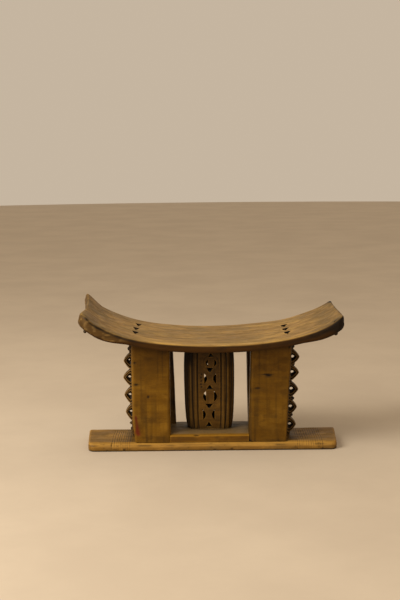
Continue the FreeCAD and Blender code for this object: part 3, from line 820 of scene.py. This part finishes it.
def make_base_board():
    centre = (BASE_LOW + BASE_HIGH) / 2
    half = (BASE_HIGH - BASE_LOW) / 2
    xs = spread(half[0], BASE_RIM, BASE_CORNER, 3.2)
    fine = [np.arange(low, high, HATCH_STEP) - centre[0] for low, high in HATCH_ZONES]
    coarse = [x for x in xs if not any(zone[0] - 0.5 < x < zone[-1] + 0.5 for zone in fine)]
    xs = np.unique(np.concatenate([coarse, *fine]))
    ys = spread(half[1], BASE_RIM, BASE_CORNER, 2.4, 1.2)
    zs = spread(half[2], BASE_RIM, BASE_RIM + 0.4, 2.0)
    points, faces = block(xs, ys, zs)
    points = rounded(points, half, BASE_CORNER, BASE_RIM)
    # The back is longer than the front, the top edges lean in and the long ones are cut down.
    points[:, 0] *= 1.0 + 0.016 * points[:, 1] / half[1]
    top_edge = smooth((points[:, 2] / half[2] + 0.15) / 1.15)
    points[:, 1] *= 1.0 - 0.035 * top_edge**2 * (np.abs(points[:, 1]) / half[1]) ** 8
    points[:, 0] *= 1.0 - 0.004 * top_edge**2 * (np.abs(points[:, 0]) / half[0]) ** 24
    points[:, 2] -= 3.4 * top_edge * smooth((np.abs(points[:, 1]) - half[1] + 15.0) / 14.0) ** 2
    base = new_piece("carved_base", points + centre, faces)
    push(base, base_marks)
    wear_and_highlight, grime_and_shade = base_masks(points_of(base))
    finish_piece(base, "base_board", "base_wood", wear_and_highlight=wear_and_highlight, grime_and_shade=grime_and_shade)


def plinth_marks(points, normals):
    return tool_marks(points, 51, 0.35, 0.4, 12.0) - 3.0 * blob(points, PLINTH_CHIP, (5.0, 6.0, 3.4))


def post_places(half):
    """Blocks of space that the four posts take from the plinth."""
    near_post = abs(FRONT_POST_BACK - 0.4)
    solids = []
    for side, back, inner_foot, *_ in POST_SIDES.values():
        near_x, far_x = side * (inner_foot + 1.0), side * (half[0] + 20.0)
        near_y, far_y = back * near_post, back * (half[1] + 20.0)
        corners = [(near_x, near_y), (far_x, near_y), (far_x, far_y), (near_x, far_y)]
        solids.append(prism([(x, y, 0.0) for x, y in corners], (0.0, 0.0, 80.0)))
    return solids


def make_plinth():
    centre = (PLINTH_LOW + PLINTH_HIGH) / 2
    half = (PLINTH_HIGH - PLINTH_LOW) / 2
    points, faces = rounded_block(half, PLINTH_CORNER, PLINTH_RIM, (2.2, 2.2, 1.6))
    points[:, 2] -= 1.6 * smooth((-points[:, 1] - half[1] + 6.0) / 5.0) * smooth(points[:, 2] / half[2])
    level = 0.5 + 0.5 * points[:, 2] / half[2]
    x, y = points[:, 0] + centre[0], points[:, 1] + centre[1]
    foot = BASE_TOP - EMBED
    points = np.column_stack([x, y, foot + level * (plinth_top(y) - foot)])
    plinth = new_piece("carved_plinth", points, faces)
    push(plinth, plinth_marks)
    cut(plinth, post_places(half))
    x, y, z = points_of(plinth).T
    past_front = y + half[1]
    # A bright line along the front top edge: painted highlight.
    wear_and_highlight = 0.75 * band(past_front, 1.0, 4.5) * smooth((z - plinth_top(y) + 4.0) / 3.0)
    # Darker round the column's foot and towards the back, under the seat: painted shade.
    column_foot_shade = band(np.hypot(x / 52.0, y / 28.0), 1.0, 0.16)
    grime_and_shade = 0.5 * column_foot_shade * smooth((y + 40.0) / 10.0) + 0.35 * smooth((y + 40.0) / 40.0)
    dust = 0.7 * smooth((z - plinth_top(y) + 2.2) / 2.0) * smooth((past_front - 3.0) / 6.0)
    finish_piece(plinth, "plinth", "plinth_wood", wear_and_highlight=wear_and_highlight, grime_and_shade=grime_and_shade, dust=dust, dark_cuts=0.4)


# ---------------------------------------------------------------- posts

# Each post: left or right (-1, 1), front or back (-1, 1), then how far from the middle of the stool its
# inner and its outer side stand, at its foot and at its top.
POST_SIDES = {
    "front_left_post": (-1, -1, 85.5, 164.4, 84.5, 164.8),
    "front_right_post": (1, -1, 77.0, 157.5, 82.5, 168.3),
    "rear_left_post": (-1, 1, 74.5, 157.0, 80.5, 163.0),
    "rear_right_post": (1, 1, 80.5, 158.0, 77.5, 163.0),
}
POST_HEIGHT = 206.0
POST_CORNER = 6.5
POST_RIM = 1.6
# Dents and knots of the front posts: where each is and its size.
POST_NICKS = {
    "front_left_post": (
        ((-158.0, -59.0, 187.0), (3.5, 6.0, 1.7)),
        ((-155.3, -59.0, 141.0), (4.5, 6.0, 1.6)),
        ((-130.5, -59.0, 115.0), (2.4, 6.0, 2.6)),
    ),
    "front_right_post": (
        ((96.0, -59.0, 131.0), (6.0, 6.0, 1.6)),
        ((119.5, -59.0, 157.5), (6.0, 6.0, 2.8)),
        ((116.0, -59.0, 160.0), (12.0, 6.0, 1.2)),
    ),
}


def red_stain(points):
    """A stain that runs down the outer front edge of the front left post."""
    x, y, z = points.T
    down = (78.0 - z) / 40.0
    stain = 1.6 * band(x, 4.5 * down - 157.8, 1.6 + 3.2 * np.clip(down, 0, 1))
    stain *= smooth(down * 5.0) * smooth((z - 29.0) / 7.0) * (y < 0)
    return stain * uneven(points, 0.75, 0.5, (5.0, 8.0, 8.0), 77)


def post_masks(points, name, low, high, seed):
    """Where a post is worn and dirty, and where shade is painted on it."""
    _, _, _, outer_foot, inner_top, outer_top = POST_SIDES[name]
    x, y, z = points.T
    out = np.abs(x)
    middle_y = (low[1] + high[1]) / 2
    past_side = out - (outer_foot + (outer_top - outer_foot) * (z - 20.0) / POST_HEIGHT)

    wear_and_highlight = 0.7 * band(past_side, -2.6, 1.5) * (y < middle_y)
    wear_and_highlight *= uneven(points, 0.55, 0.6, (9.0, 20.0, 30.0), seed + 8)
    # The right post's light edge line is weaker: painted shade on its side away from the key light.
    wear_and_highlight *= 0.25 if name == "front_right_post" else 0.6

    # Darker just under the seat: painted shadow of the seat.
    grime_and_shade = 0.5 * smooth((z - seat_underside(x, y) + 16.0) / 16.0)
    grime_and_shade += 0.45 * smooth((26.0 - z) / 7.0) * uneven(points, 0.6, 0.5, 9.0, seed + 5)
    grime_and_shade += 0.28 * spots(points, 1.5, -0.5, (26.0, 20.0, 14.0), seed + 6)
    grime_and_shade += 0.3 * spots(points, 1.5, -0.3, (5.0, 20.0, 90.0), seed + 7)
    # Darker on the back of the inner side, in the gap beside the column: painted shade.
    grime_and_shade += 0.35 * smooth((y - middle_y) / 20.0) * smooth((12.0 - np.abs(out - inner_top)) / 8.0)
    for place, size in POST_NICKS.get(name, ()):
        grime_and_shade += 0.8 * blob(points, place, size)
    if name == "front_right_post":
        grime_and_shade += 0.45 * smooth((inner_top + 3.5 - out) / 4.0)
        # Darker along the outer front edge, and a little all over: painted shade on the side away from the
        # key light.
        grime_and_shade += 0.5 * smooth((past_side + 3.6) / 3.2) * smooth((low[1] + 12.0 - y) / 8.0) + 0.1
        rough_edge = smooth((out - 158.0) / 4.0) * smooth((low[1] + 9.0 - y) / 5.0)
        grime_and_shade += 0.5 * rough_edge * spots(points, 2.0, 0.0, (6.0, 9.0, 5.0), 78)
    if name.startswith("rear"):
        # The rear posts are darker, most where they show from the front: painted shadow of the front posts.
        in_sight = y < low[1] + 12.0
        grime_and_shade += np.where(in_sight, 0.55, 0.2) + 0.25 * smooth((z - 120.0) / 60.0) * in_sight
    return wear_and_highlight, grime_and_shade


def make_post(name):
    side, _, inner_foot, outer_foot, inner_top, outer_top = POST_SIDES[name]
    low, high = box_mm(name)
    half = (high - low) / 2
    points, faces = rounded_block(half, POST_CORNER, POST_RIM, (1.7, 1.9, 2.1), (1.2, 1.2))
    level = 0.5 + 0.5 * points[:, 2] / half[2]
    across = 0.5 + 0.5 * points[:, 0] * side / half[0]
    inner = inner_foot + (inner_top - inner_foot) * level
    outer = outer_foot + (outer_top - outer_foot) * level
    if name == "front_left_post":
        outer = outer - 4.2 * (1.0 - smooth(level * POST_HEIGHT / 50.0))
    x = side * (inner + (outer - inner) * across)
    swell = 0.8 * np.sin(math.pi * np.clip(level, 0, 1)) * (1.0 - (points[:, 0] / half[0]) ** 2)
    y = (low[1] + high[1]) / 2 + points[:, 1] * (1.0 + swell / half[1])
    foot = BASE_TOP - EMBED
    z = foot + level * (seat_underside(x, y) + EMBED - foot)
    post = new_piece(f"carved_{name}", np.column_stack([x, y, z]), faces)
    seed = 60 + 10 * list(POST_SIDES).index(name)

    def marks(points, normals):
        amount = tool_marks(points, seed, 0.5, 0.3, 15.0)
        edge = np.clip(3.0 * smooth(1.4 - 1.4 * np.abs(normals).max(axis=1)), 0, 1)
        amount += edge * tool_marks(points, seed + 3, 0.2, 0.7, 7.0)
        for place, size in POST_NICKS.get(name, ()):
            amount -= 1.1 * blob(points, place, size)
        return amount

    push(post, marks)
    points = points_of(post)
    wear_and_highlight, grime_and_shade = post_masks(points, name, low, high, seed)
    stain = red_stain(points) if name == "front_left_post" else 0.0
    finish_piece(post, name, "post_wood", wear_and_highlight=wear_and_highlight, grime_and_shade=grime_and_shade, stain=stain)


# ---------------------------------------------------------------- central column

COLUMN_X = -3.3
# The reeding: grooves this far out from the middle of the column, and the swell between them.
REED_LINES = (23.5, 34.0, 44.0)
REED_WIDTH = 3.2
REED_MIDDLE = 28.8
REED_PITCH = 10.4
RING_WIDTH = 2.2
COLUMN_LEVELS = (0.0, 0.11, 0.27, 0.43, 0.59, 0.74, 0.90, 1.0)
COLUMN_SIDES = curve_through(COLUMN_LEVELS, (46.6, 49.8, 51.6, 52.5, 53.2, 53.3, 52.0, 50.6), 4)
COLUMN_FACES = curve_through((0.0, 0.18, 0.6, 1.0), (22.5, 24.5, 27.6, 26.0), 3)
COLUMN_CORNER = 20.0
COLUMN_RIM = 1.5
COLUMN_HALF = np.array([50.0, 27.0, (COLUMN_HIGH[2] - COLUMN_LOW[2]) / 2])
# Half sizes of the shaft inside.
CORE_X = 24.0
CORE_Y = 13.0
# Piercings of the front: triangles (x, z, width, height, +1 points up) and
# pairs of crescents (left x, right x, z, width, height, +1 bulges outwards).
TRIANGLES = (
    (0.3, 195.4, 12.0, 8.0, 1),
    (-2.2, 164.0, 15.5, 10.5, -1),
    (-2.5, 127.0, 15.5, 9.5, 1),
    (-4.0, 87.0, 17.5, 10.0, -1),
    (-4.9, 46.2, 15.0, 10.0, 1),
)
CRESCENTS = (
    (-7.9, 9.5, 179.0, 4.8, 16.5, 1),
    (-11.1, 8.1, 145.6, 6.6, 23.5, -1),
    (-13.4, 9.4, 107.5, 7.2, 25.0, 1),
    (-14.3, 4.5, 67.5, 6.6, 24.5, -1),
)
# The rear piercings sit a little higher. In the dark rows, and on the right of every row, the rear crescents
# sit higher still, so that no light comes straight through.
REAR_RISE = 1.5
DARK_ROWS = (179.0, 67.5)
DARK_RISE = 8.25
# A row of small nicks down the front: x and z.
NICKS = ((-19.5, 155.0), (-20.5, 148.5), (-20.0, 141.0), (-20.8, 134.0), (-19.8, 128.0))


def crescent_outline(x, z, bulge, width, height):
    """Outline in the XZ plane of a crescent that bulges to the left (-1) or to the right (+1)."""
    turn = np.linspace(-1.0, 1.0, 9)
    outer_side = [(x + bulge * width * (0.55 - 1.05 * t * t), z + t * height / 2) for t in turn]
    inner_side = [(x - bulge * width * (0.45 + 0.05 * t * t), z + t * height / 2) for t in turn[::-1][1:-1]]
    return outer_side + inner_side


def column_cuts():
    """Knife-cut piercings through the front and the back wall of the hollow column."""
    solids = []
    for face in (-1, 1):
        start = face * 36.0
        inwards = (0.0, face * -26.0, 0.0)
        rise, dark_rise = (0.0, 0.0) if face < 0 else (REAR_RISE, DARK_RISE)
        for x, z, width, height, up in TRIANGLES:
            z += rise
            low, high = z - up * height / 2, z + up * height / 2
            base, tip = width / 2, 0.1 * width
            outline = ((x - base, low), (x + base, low), (x + tip, high), (x - tip, high))
            solids.append(prism([(px, start, pz) for px, pz in outline], inwards, 0.8))
        for left, right, z, width, height, outwards in CRESCENTS:
            for side, x in ((-1, left), (1, right)):
                middle = z + (dark_rise if side > 0 or z in DARK_ROWS else rise)
                outline = crescent_outline(x, middle, side * outwards, width, height)
                solids.append(prism([(px, start, pz) for px, pz in outline], inwards, 0.82))
    return solids


def column_level(z):
    """0 at the column's foot, 1 at its top."""
    return (z - COLUMN_LOW[2]) / (COLUMN_HIGH[2] - COLUMN_LOW[2])


def reed_swell(out):
    """The wave of the reeding beside its first groove, -1 to 1."""
    return (out > REED_LINES[0]) * np.cos(2.0 * math.pi * (out - REED_MIDDLE) / REED_PITCH)


def incisions(points):
    """How deeply the column is cut at every point by the reeding and by the circles round its piercings."""
    x, _, z = points.T
    flat_x = np.abs(x - COLUMN_X) * COLUMN_HALF[0] / COLUMN_SIDES(column_level(z))
    depth = np.zeros(len(x))
    for line in REED_LINES:
        depth = np.maximum(depth, groove(flat_x - line, REED_WIDTH))
    circles = []
    for left, right, ring_z, _, _, outwards in CRESCENTS:
        if outwards > 0:
            circles.append(((left + right) / 2, ring_z, 16.5))
        else:
            circles += [(left - 10.0, ring_z, 13.0), (right + 10.0, ring_z, 13.0)]
    for ring_x, ring_z, radius in circles:
        ring = groove(np.hypot(x - ring_x, z - ring_z) - radius, RING_WIDTH)
        depth = np.maximum(depth, 0.35 * ring * (flat_x < 22.0))
    return depth


def column_marks(points, normals):
    outwards = smooth(np.abs(normals[:, 1]) / 0.3)
    swell = 0.6 * reed_swell(np.abs(points[:, 0] - COLUMN_X))
    amount = tool_marks(points, 101, 0.3, 0.3, 12.0) + outwards * (swell - 1.2 * incisions(points))
    for nick_x, nick_z in NICKS:
        amount -= 1.2 * blob(points, (nick_x, -27.0, nick_z), (1.6, 8.0, 1.4))
    return amount


def column_masks(points):
    """Where the column is worn and dirty, and where shade is painted on it."""
    x, y, z = points.T
    out = np.abs(x - COLUMN_X)
    wear_and_highlight = 0.45 * np.clip(reed_swell(out), 0, 1) ** 3
    # The inner walls of the hollow are near black: painted shade inside it.
    inside = smooth((COLUMN_FACES(column_level(z)) - np.abs(y) - 1.6) / 2.5) * (out < 26.0)
    grime_and_shade = 0.4 * incisions(points) + 0.9 * inside
    # Darker under the seat and on the rounded sides: painted shadow of the seat, and painted shade where the
    # sides turn from the light.
    grime_and_shade += 0.5 * smooth((z - seat_underside(x, y) + 48.0) / 48.0)
    grime_and_shade += 0.35 * smooth((out - 40.0) / 8.0) + 0.2 * smooth((out - 22.0) / 5.0)
    grime_and_shade += 0.3 * smooth((COLUMN_LOW[2] + 8.0 - z) / 8.0)
    # Darker on the left: painted shadow of the left post.
    grime_and_shade += 0.3 * smooth((-x - 22.0) / 20.0)
    grime_and_shade += 0.25 * spots(points, 1.6, -0.4, (7.0, 9.0, 26.0), 105)
    for nick_x, nick_z in NICKS:
        grime_and_shade += 0.9 * blob(points, (nick_x, -27.0, nick_z), (1.6, 8.0, 1.6))
    return wear_and_highlight, grime_and_shade


def make_column():
    flat, faces = rounded_block(COLUMN_HALF, COLUMN_CORNER, COLUMN_RIM, (1.05, 1.8, 1.35), (1.0, 1.2))
    level = 0.5 + 0.5 * flat[:, 2] / COLUMN_HALF[2]
    x = COLUMN_X + flat[:, 0] * COLUMN_SIDES(level) / COLUMN_HALF[0]
    y = flat[:, 1] * COLUMN_FACES(level) / COLUMN_HALF[1]
    foot = plinth_top(y) - EMBED
    z = foot + level * (seat_underside(x, y) + EMBED - foot)
    column = new_piece("carved_column", np.column_stack([x, y, z]), faces)
    push(column, column_marks)
    corners = ((-1, -1), (1, -1), (1, 1), (-1, 1))
    shaft_foot = [(COLUMN_X + sx * CORE_X, sy * CORE_Y, COLUMN_LOW[2] - 20.0) for sx, sy in corners]
    cut(column, [prism(shaft_foot, (0.0, 0.0, 240.0))])
    cut(column, column_cuts())
    wear_and_highlight, grime_and_shade = column_masks(points_of(column))
    finish_piece(column, "central_column", "column_wood", wear_and_highlight=wear_and_highlight, grime_and_shade=grime_and_shade, dark_cuts=0.95)


# ---------------------------------------------------------------- lattices

# Each lozenge: its height, how far from the stool's middle its tip stands, and half its hole across and up.
LOZENGES = {
    "left_lattice": (
        (182.5, 183.7, 1.9, 1.5),
        (147.0, 185.0, 3.5, 2.7),
        (109.0, 183.2, 3.5, 2.7),
        (72.5, 180.9, 3.5, 2.7),
    ),
    "right_lattice": (
        (186.7, 187.7, 4.1, 3.3),
        (153.3, 186.7, 4.1, 3.2),
        (117.0, 185.3, 4.2, 3.1),
        (79.0, 182.4, 4.2, 3.1),
        (41.5, 180.3, 4.0, 3.0),
    ),
}
# Each flat bead between lozenges: its height, how far out it reaches and its half height.
BEADS = {
    "left_lattice": (
        (206.5, 175.5, 5.5),
        (215.0, 173.0, 5.0),
        (46.0, 173.5, 3.6),
        (25.0, 170.5, 4.5),
        (34.0, 171.5, 5.0),
    ),
    "right_lattice": (
        (208.0, 178.0, 4.6),
        (215.0, 176.0, 4.5),
        (170.5, 178.6, 5.6),
        (96.0, 177.8, 5.6),
        (60.6, 174.6, 5.4),
    ),
}
BEAD_HALF_DEPTH = 9.5
LOZENGE_HALF_HEIGHT = 18.2
# Across a lozenge's frame, from hole (0) to outer edge (1): how far its face stands from the middle plane.
FRAME_PROFILE = (
    (0.0, 3.0), (0.10, 5.4), (0.36, 8.4), (0.46, 9.9), (0.56, 9.9),
    (0.63, 8.3), (0.70, 8.4), (0.77, 10.6), (0.93, 10.6), (1.0, 8.6),
)
# The bars that join the lozenges: half depth, half width, and half width at the foot and at the top.
BAR_HALF_DEPTH = 8.5
BAR_HALF = 3.4
END_BAR_HALF = 3.8
LATTICE_VOXEL = 0.62


def lattice_middle(side, z):
    """The lattices lean outwards as they rise."""
    if side < 0:
        return -168.0 + 4.0 * (1.0 - smooth((z - 45.0) / 45.0))
    return 164.0 + 6.0 * (z - 42.0) / 148.0


def lozenge(centre_x, centre_z, tip, hole, hole_shift, rise, drop):
    """A ring in the shape of a lozenge, with a raised border, a groove and faces that slope to a hole."""
    per_side = 9
    profile = [(s, -d) for s, d in FRAME_PROFILE] + [(s, d) for s, d in FRAME_PROFILE[::-1]]
    points = []
    for quarter, step in itertools.product(range(4), range(per_side)):
        turn = 0.5 * math.pi * (quarter + step / per_side)
        u = math.copysign(abs(math.cos(turn)) ** 1.6, math.cos(turn))
        v = math.copysign(abs(math.sin(turn)) ** 1.6, math.sin(turn))
        for s, y in profile:
            x = u * (hole[0] + s * (tip - hole[0])) + hole_shift[0] * (1 - s)
            reach = rise if v > 0 else drop
            z = v * (hole[1] + s * (reach - hole[1])) + hole_shift[1] * (1 - s)
            points.append((centre_x + x, y, centre_z + z))
    around, count = 4 * per_side, len(profile)
    faces = []
    for a, p in itertools.product(range(around), range(count)):
        after, following = (a + 1) % around, (p + 1) % count
        faces.append([a * count + p, after * count + p, after * count + following, a * count + following])
    return np.array(points), faces


def bead(centre, radii):
    """A flat round bead."""
    rings = 9
    turns = [math.pi * ring / rings for ring in range(rings + 1)]
    profile = [(math.sin(turn), centre[2] - radii[2] * math.cos(turn)) for turn in turns]
    return turned(centre[:2], profile, 14, radii[:2])


def lattice_bars(node, side):
    """Leaning bars from the base board through the lozenges to the seat."""
    heights = [row[0] for row in LOZENGES[node]]
    joints = [(above + under) / 2 for above, under in zip(heights, heights[1:])]
    x = lattice_middle(side, heights[0] + 10.0)
    top = float(seat_underside(np.array([x]), np.array([0.0]))[0]) + EMBED + 1.5
    bars = [(BASE_TOP - EMBED, heights[-1] - 10.0, END_BAR_HALF)]
    bars += [(z - 7.0, z + 7.0, BAR_HALF) for z in joints]
    bars.append((heights[0] + 10.0, top, END_BAR_HALF))
    solids = []
    for start, end, half_x in bars:
        x = lattice_middle(side, start)
        lean = lattice_middle(side, end) - x
        corners = ((-1, -1), (1, -1), (1, 1), (-1, 1))
        foot = [(x + sx * half_x, sy * BAR_HALF_DEPTH, start) for sx, sy in corners]
        solids.append(prism(foot, (lean, 0.0, end - start)))
    return solids


def make_lattice(node):
    side = -1 if node.startswith("left") else 1
    random = np.random.default_rng(120 + side)
    rise, drop = (0.93, 1.13) if side < 0 else (0.98, 1.0)
    rise, drop = rise * LOZENGE_HALF_HEIGHT, drop * LOZENGE_HALF_HEIGHT
    solids = []
    for z, tip, hole_across, hole_up in LOZENGES[node]:
        shift = (side * random.uniform(2.9, 3.7), random.uniform(-0.6, 0.9))
        middle = lattice_middle(side, z)
        solids.append(lozenge(middle, z, abs(tip - abs(middle)), (hole_across, hole_up), shift, rise, drop))
    for z, out, height in BEADS[node]:
        middle = lattice_middle(side, z)
        solids.append(bead((middle, 0.0, z), (out - abs(middle), BEAD_HALF_DEPTH, height)))
    points, faces = gather(solids + lattice_bars(node, side))
    lattice = new_piece(f"carved_{node}", points, faces)
    remesh = lattice.modifiers.new("merge", "REMESH")
    remesh.mode = "VOXEL"
    remesh.voxel_size = LATTICE_VOXEL * MM
    relax = lattice.modifiers.new("soften", "SMOOTH")
    relax.factor = 0.5
    relax.iterations = 2
    keep_modified(lattice)
    push(lattice, lambda points, normals: tool_marks(points, 130 + side, 0.25, 0.35, 6.0))
    points = points_of(lattice)
    x, y, z = points.T
    wear_and_highlight = 0.5 * smooth(np.abs(y) - 9.2) * uneven(points, 0.6, 0.5, 9.0, 140 + side)
    # Darker on the sunken faces near the middle of the lattice: painted shade in the hollows.
    low_face = smooth((9.4 - np.abs(y)) / 3.0)
    grime_and_shade = 0.8 * low_face * smooth((14.5 - np.abs(x - lattice_middle(side, z))) / 4.0)
    # Darker towards the seat, and the right lattice darker all over: painted shade under the seat and on the
    # side away from the key light.
    grime_and_shade += 0.45 * smooth((z - 190.0) / 25.0) + (0.0 if side < 0 else 0.3)
    finish_piece(lattice, node, "lattice_wood", wear_and_highlight=wear_and_highlight, grime_and_shade=grime_and_shade)


# ---------------------------------------------------------------- end lugs


LUG_Y = -14.0


def make_lug(node):
    """A round knob on a short waisted neck."""
    low, high = box_mm(node)
    x = (low[0] + high[0]) / 2 + math.copysign(3.0, low[0])
    radius = (high[0] - low[0]) / 2
    foot = low[2] + (0.3 if low[0] < 0 else 0.0)
    top = float(seat_underside(np.array([x]), np.array([LUG_Y]))[0]) + 2.0
    turns = np.linspace(0.0, 2.35, 15)
    profile = [(radius * math.sin(turn), foot + radius - radius * math.cos(turn)) for turn in turns]
    shoulder = profile[-1][1]
    for part in np.linspace(0.0, 1.0, 12)[1:]:
        out = radius * (0.72 + 0.25 * (2.0 * part - 1.0) ** 4)
        profile.append((out, shoulder + part * (top - shoulder)))
    profile.append((0.0, top))
    points, faces = turned((x, LUG_Y), profile, 26)
    lug = new_piece(f"carved_{node}", points, faces)
    push(lug, lambda points, normals: tool_marks(points, 150, 0.1, 0.35, 3.5))
    finish_piece(lug, node, "lug_wood")


# ---------------------------------------------------------------- floor, light, camera


FLOOR_RADIUS = 9000.0
FLOOR_COLOURS = ((0.55, 0.455, 0.345), (0.60, 0.50, 0.38))
LIGHT_AIM = (0.0, 0.0, 150.0)
# Each light: where it is, its size, its power and its colour.
LIGHTS = {
    "key": ((-1900.0, -1300.0, 1700.0), 1500.0, 74.0, (1.0, 0.94, 0.84)),
    "fill": ((500.0, -2400.0, 1500.0), 2200.0, 8.0, (1.0, 0.92, 0.80)),
}
SKY_COLOUR = (0.66, 0.545, 0.415, 1.0)
SKY_STRENGTH = 0.85
CAMERA_PLACE = (-21.0, -2426.5, 651.7)
CAMERA_LOOKS_DOWN = 8.05
CAMERA_ROLL = -0.6
CAMERA_LENS = 70.0


def make_stage():
    """A wide plain pale floor."""
    turns = np.linspace(0.0, 2.0 * math.pi, 97)[:-1]
    ring = [(FLOOR_RADIUS * math.cos(turn), FLOOR_RADIUS * math.sin(turn), 0.0) for turn in turns]
    floor = new_piece("pale_floor", ring, [list(range(len(ring)))])
    material = bpy.data.materials.new("pale_plaster")
    material.use_nodes = True
    tree = material.node_tree
    shader = tree.nodes["Principled BSDF"]
    place = add_node(tree, "ShaderNodeTexCoord").outputs["Object"]
    patches = noise(tree, place, 3.0, 6.0, 0.6)
    colour = blend_colours(tree, ramp(tree, patches, 0.3, 0.7), *FLOOR_COLOURS)
    tree.links.new(colour, shader.inputs["Base Color"])
    shader.inputs["Roughness"].default_value = 0.9
    floor.data.materials.append(material)


def add_area_light(name, place, size, power, colour):
    light = bpy.data.lights.new(name, "AREA")
    light.shape = "SQUARE"
    light.size = size * MM
    light.energy = power
    light.color = colour
    lamp = bpy.data.objects.new(name, light)
    bpy.context.scene.collection.objects.link(lamp)
    place, aim = Vector(place) * MM, Vector(LIGHT_AIM) * MM
    lamp.location = place
    lamp.rotation_euler = (aim - place).to_track_quat("-Z", "Y").to_euler()


def make_light():
    for name, settings in LIGHTS.items():
        add_area_light(name, *settings)
    world = bpy.data.worlds.new("studio")
    world.use_nodes = True
    background = world.node_tree.nodes["Background"]
    background.inputs["Color"].default_value = SKY_COLOUR
    background.inputs["Strength"].default_value = SKY_STRENGTH
    bpy.context.scene.world = world
    bpy.context.scene.view_settings.view_transform = "Standard"


def make_camera():
    data = bpy.data.cameras.new("camera")
    data.lens = CAMERA_LENS
    data.sensor_width = 36.0
    data.clip_end = 100.0
    camera = bpy.data.objects.new("camera", data)
    bpy.context.scene.collection.objects.link(camera)
    pitch = Matrix.Rotation(math.radians(90.0 - CAMERA_LOOKS_DOWN), 4, "X")
    roll = Matrix.Rotation(math.radians(CAMERA_ROLL), 4, "Z")
    camera.matrix_world = Matrix.Translation(Vector(CAMERA_PLACE) * MM) @ pitch @ roll
    bpy.context.scene.camera = camera


# ---------------------------------------------------------------- the stool

make_seat()
make_base_board()
make_plinth()
for post_name in POST_SIDES:
    make_post(post_name)
make_column()
for lattice_name in LOZENGES:
    make_lattice(lattice_name)
make_lug("left_end_lug")
make_lug("right_end_lug")
make_stage()
make_light()
make_camera()
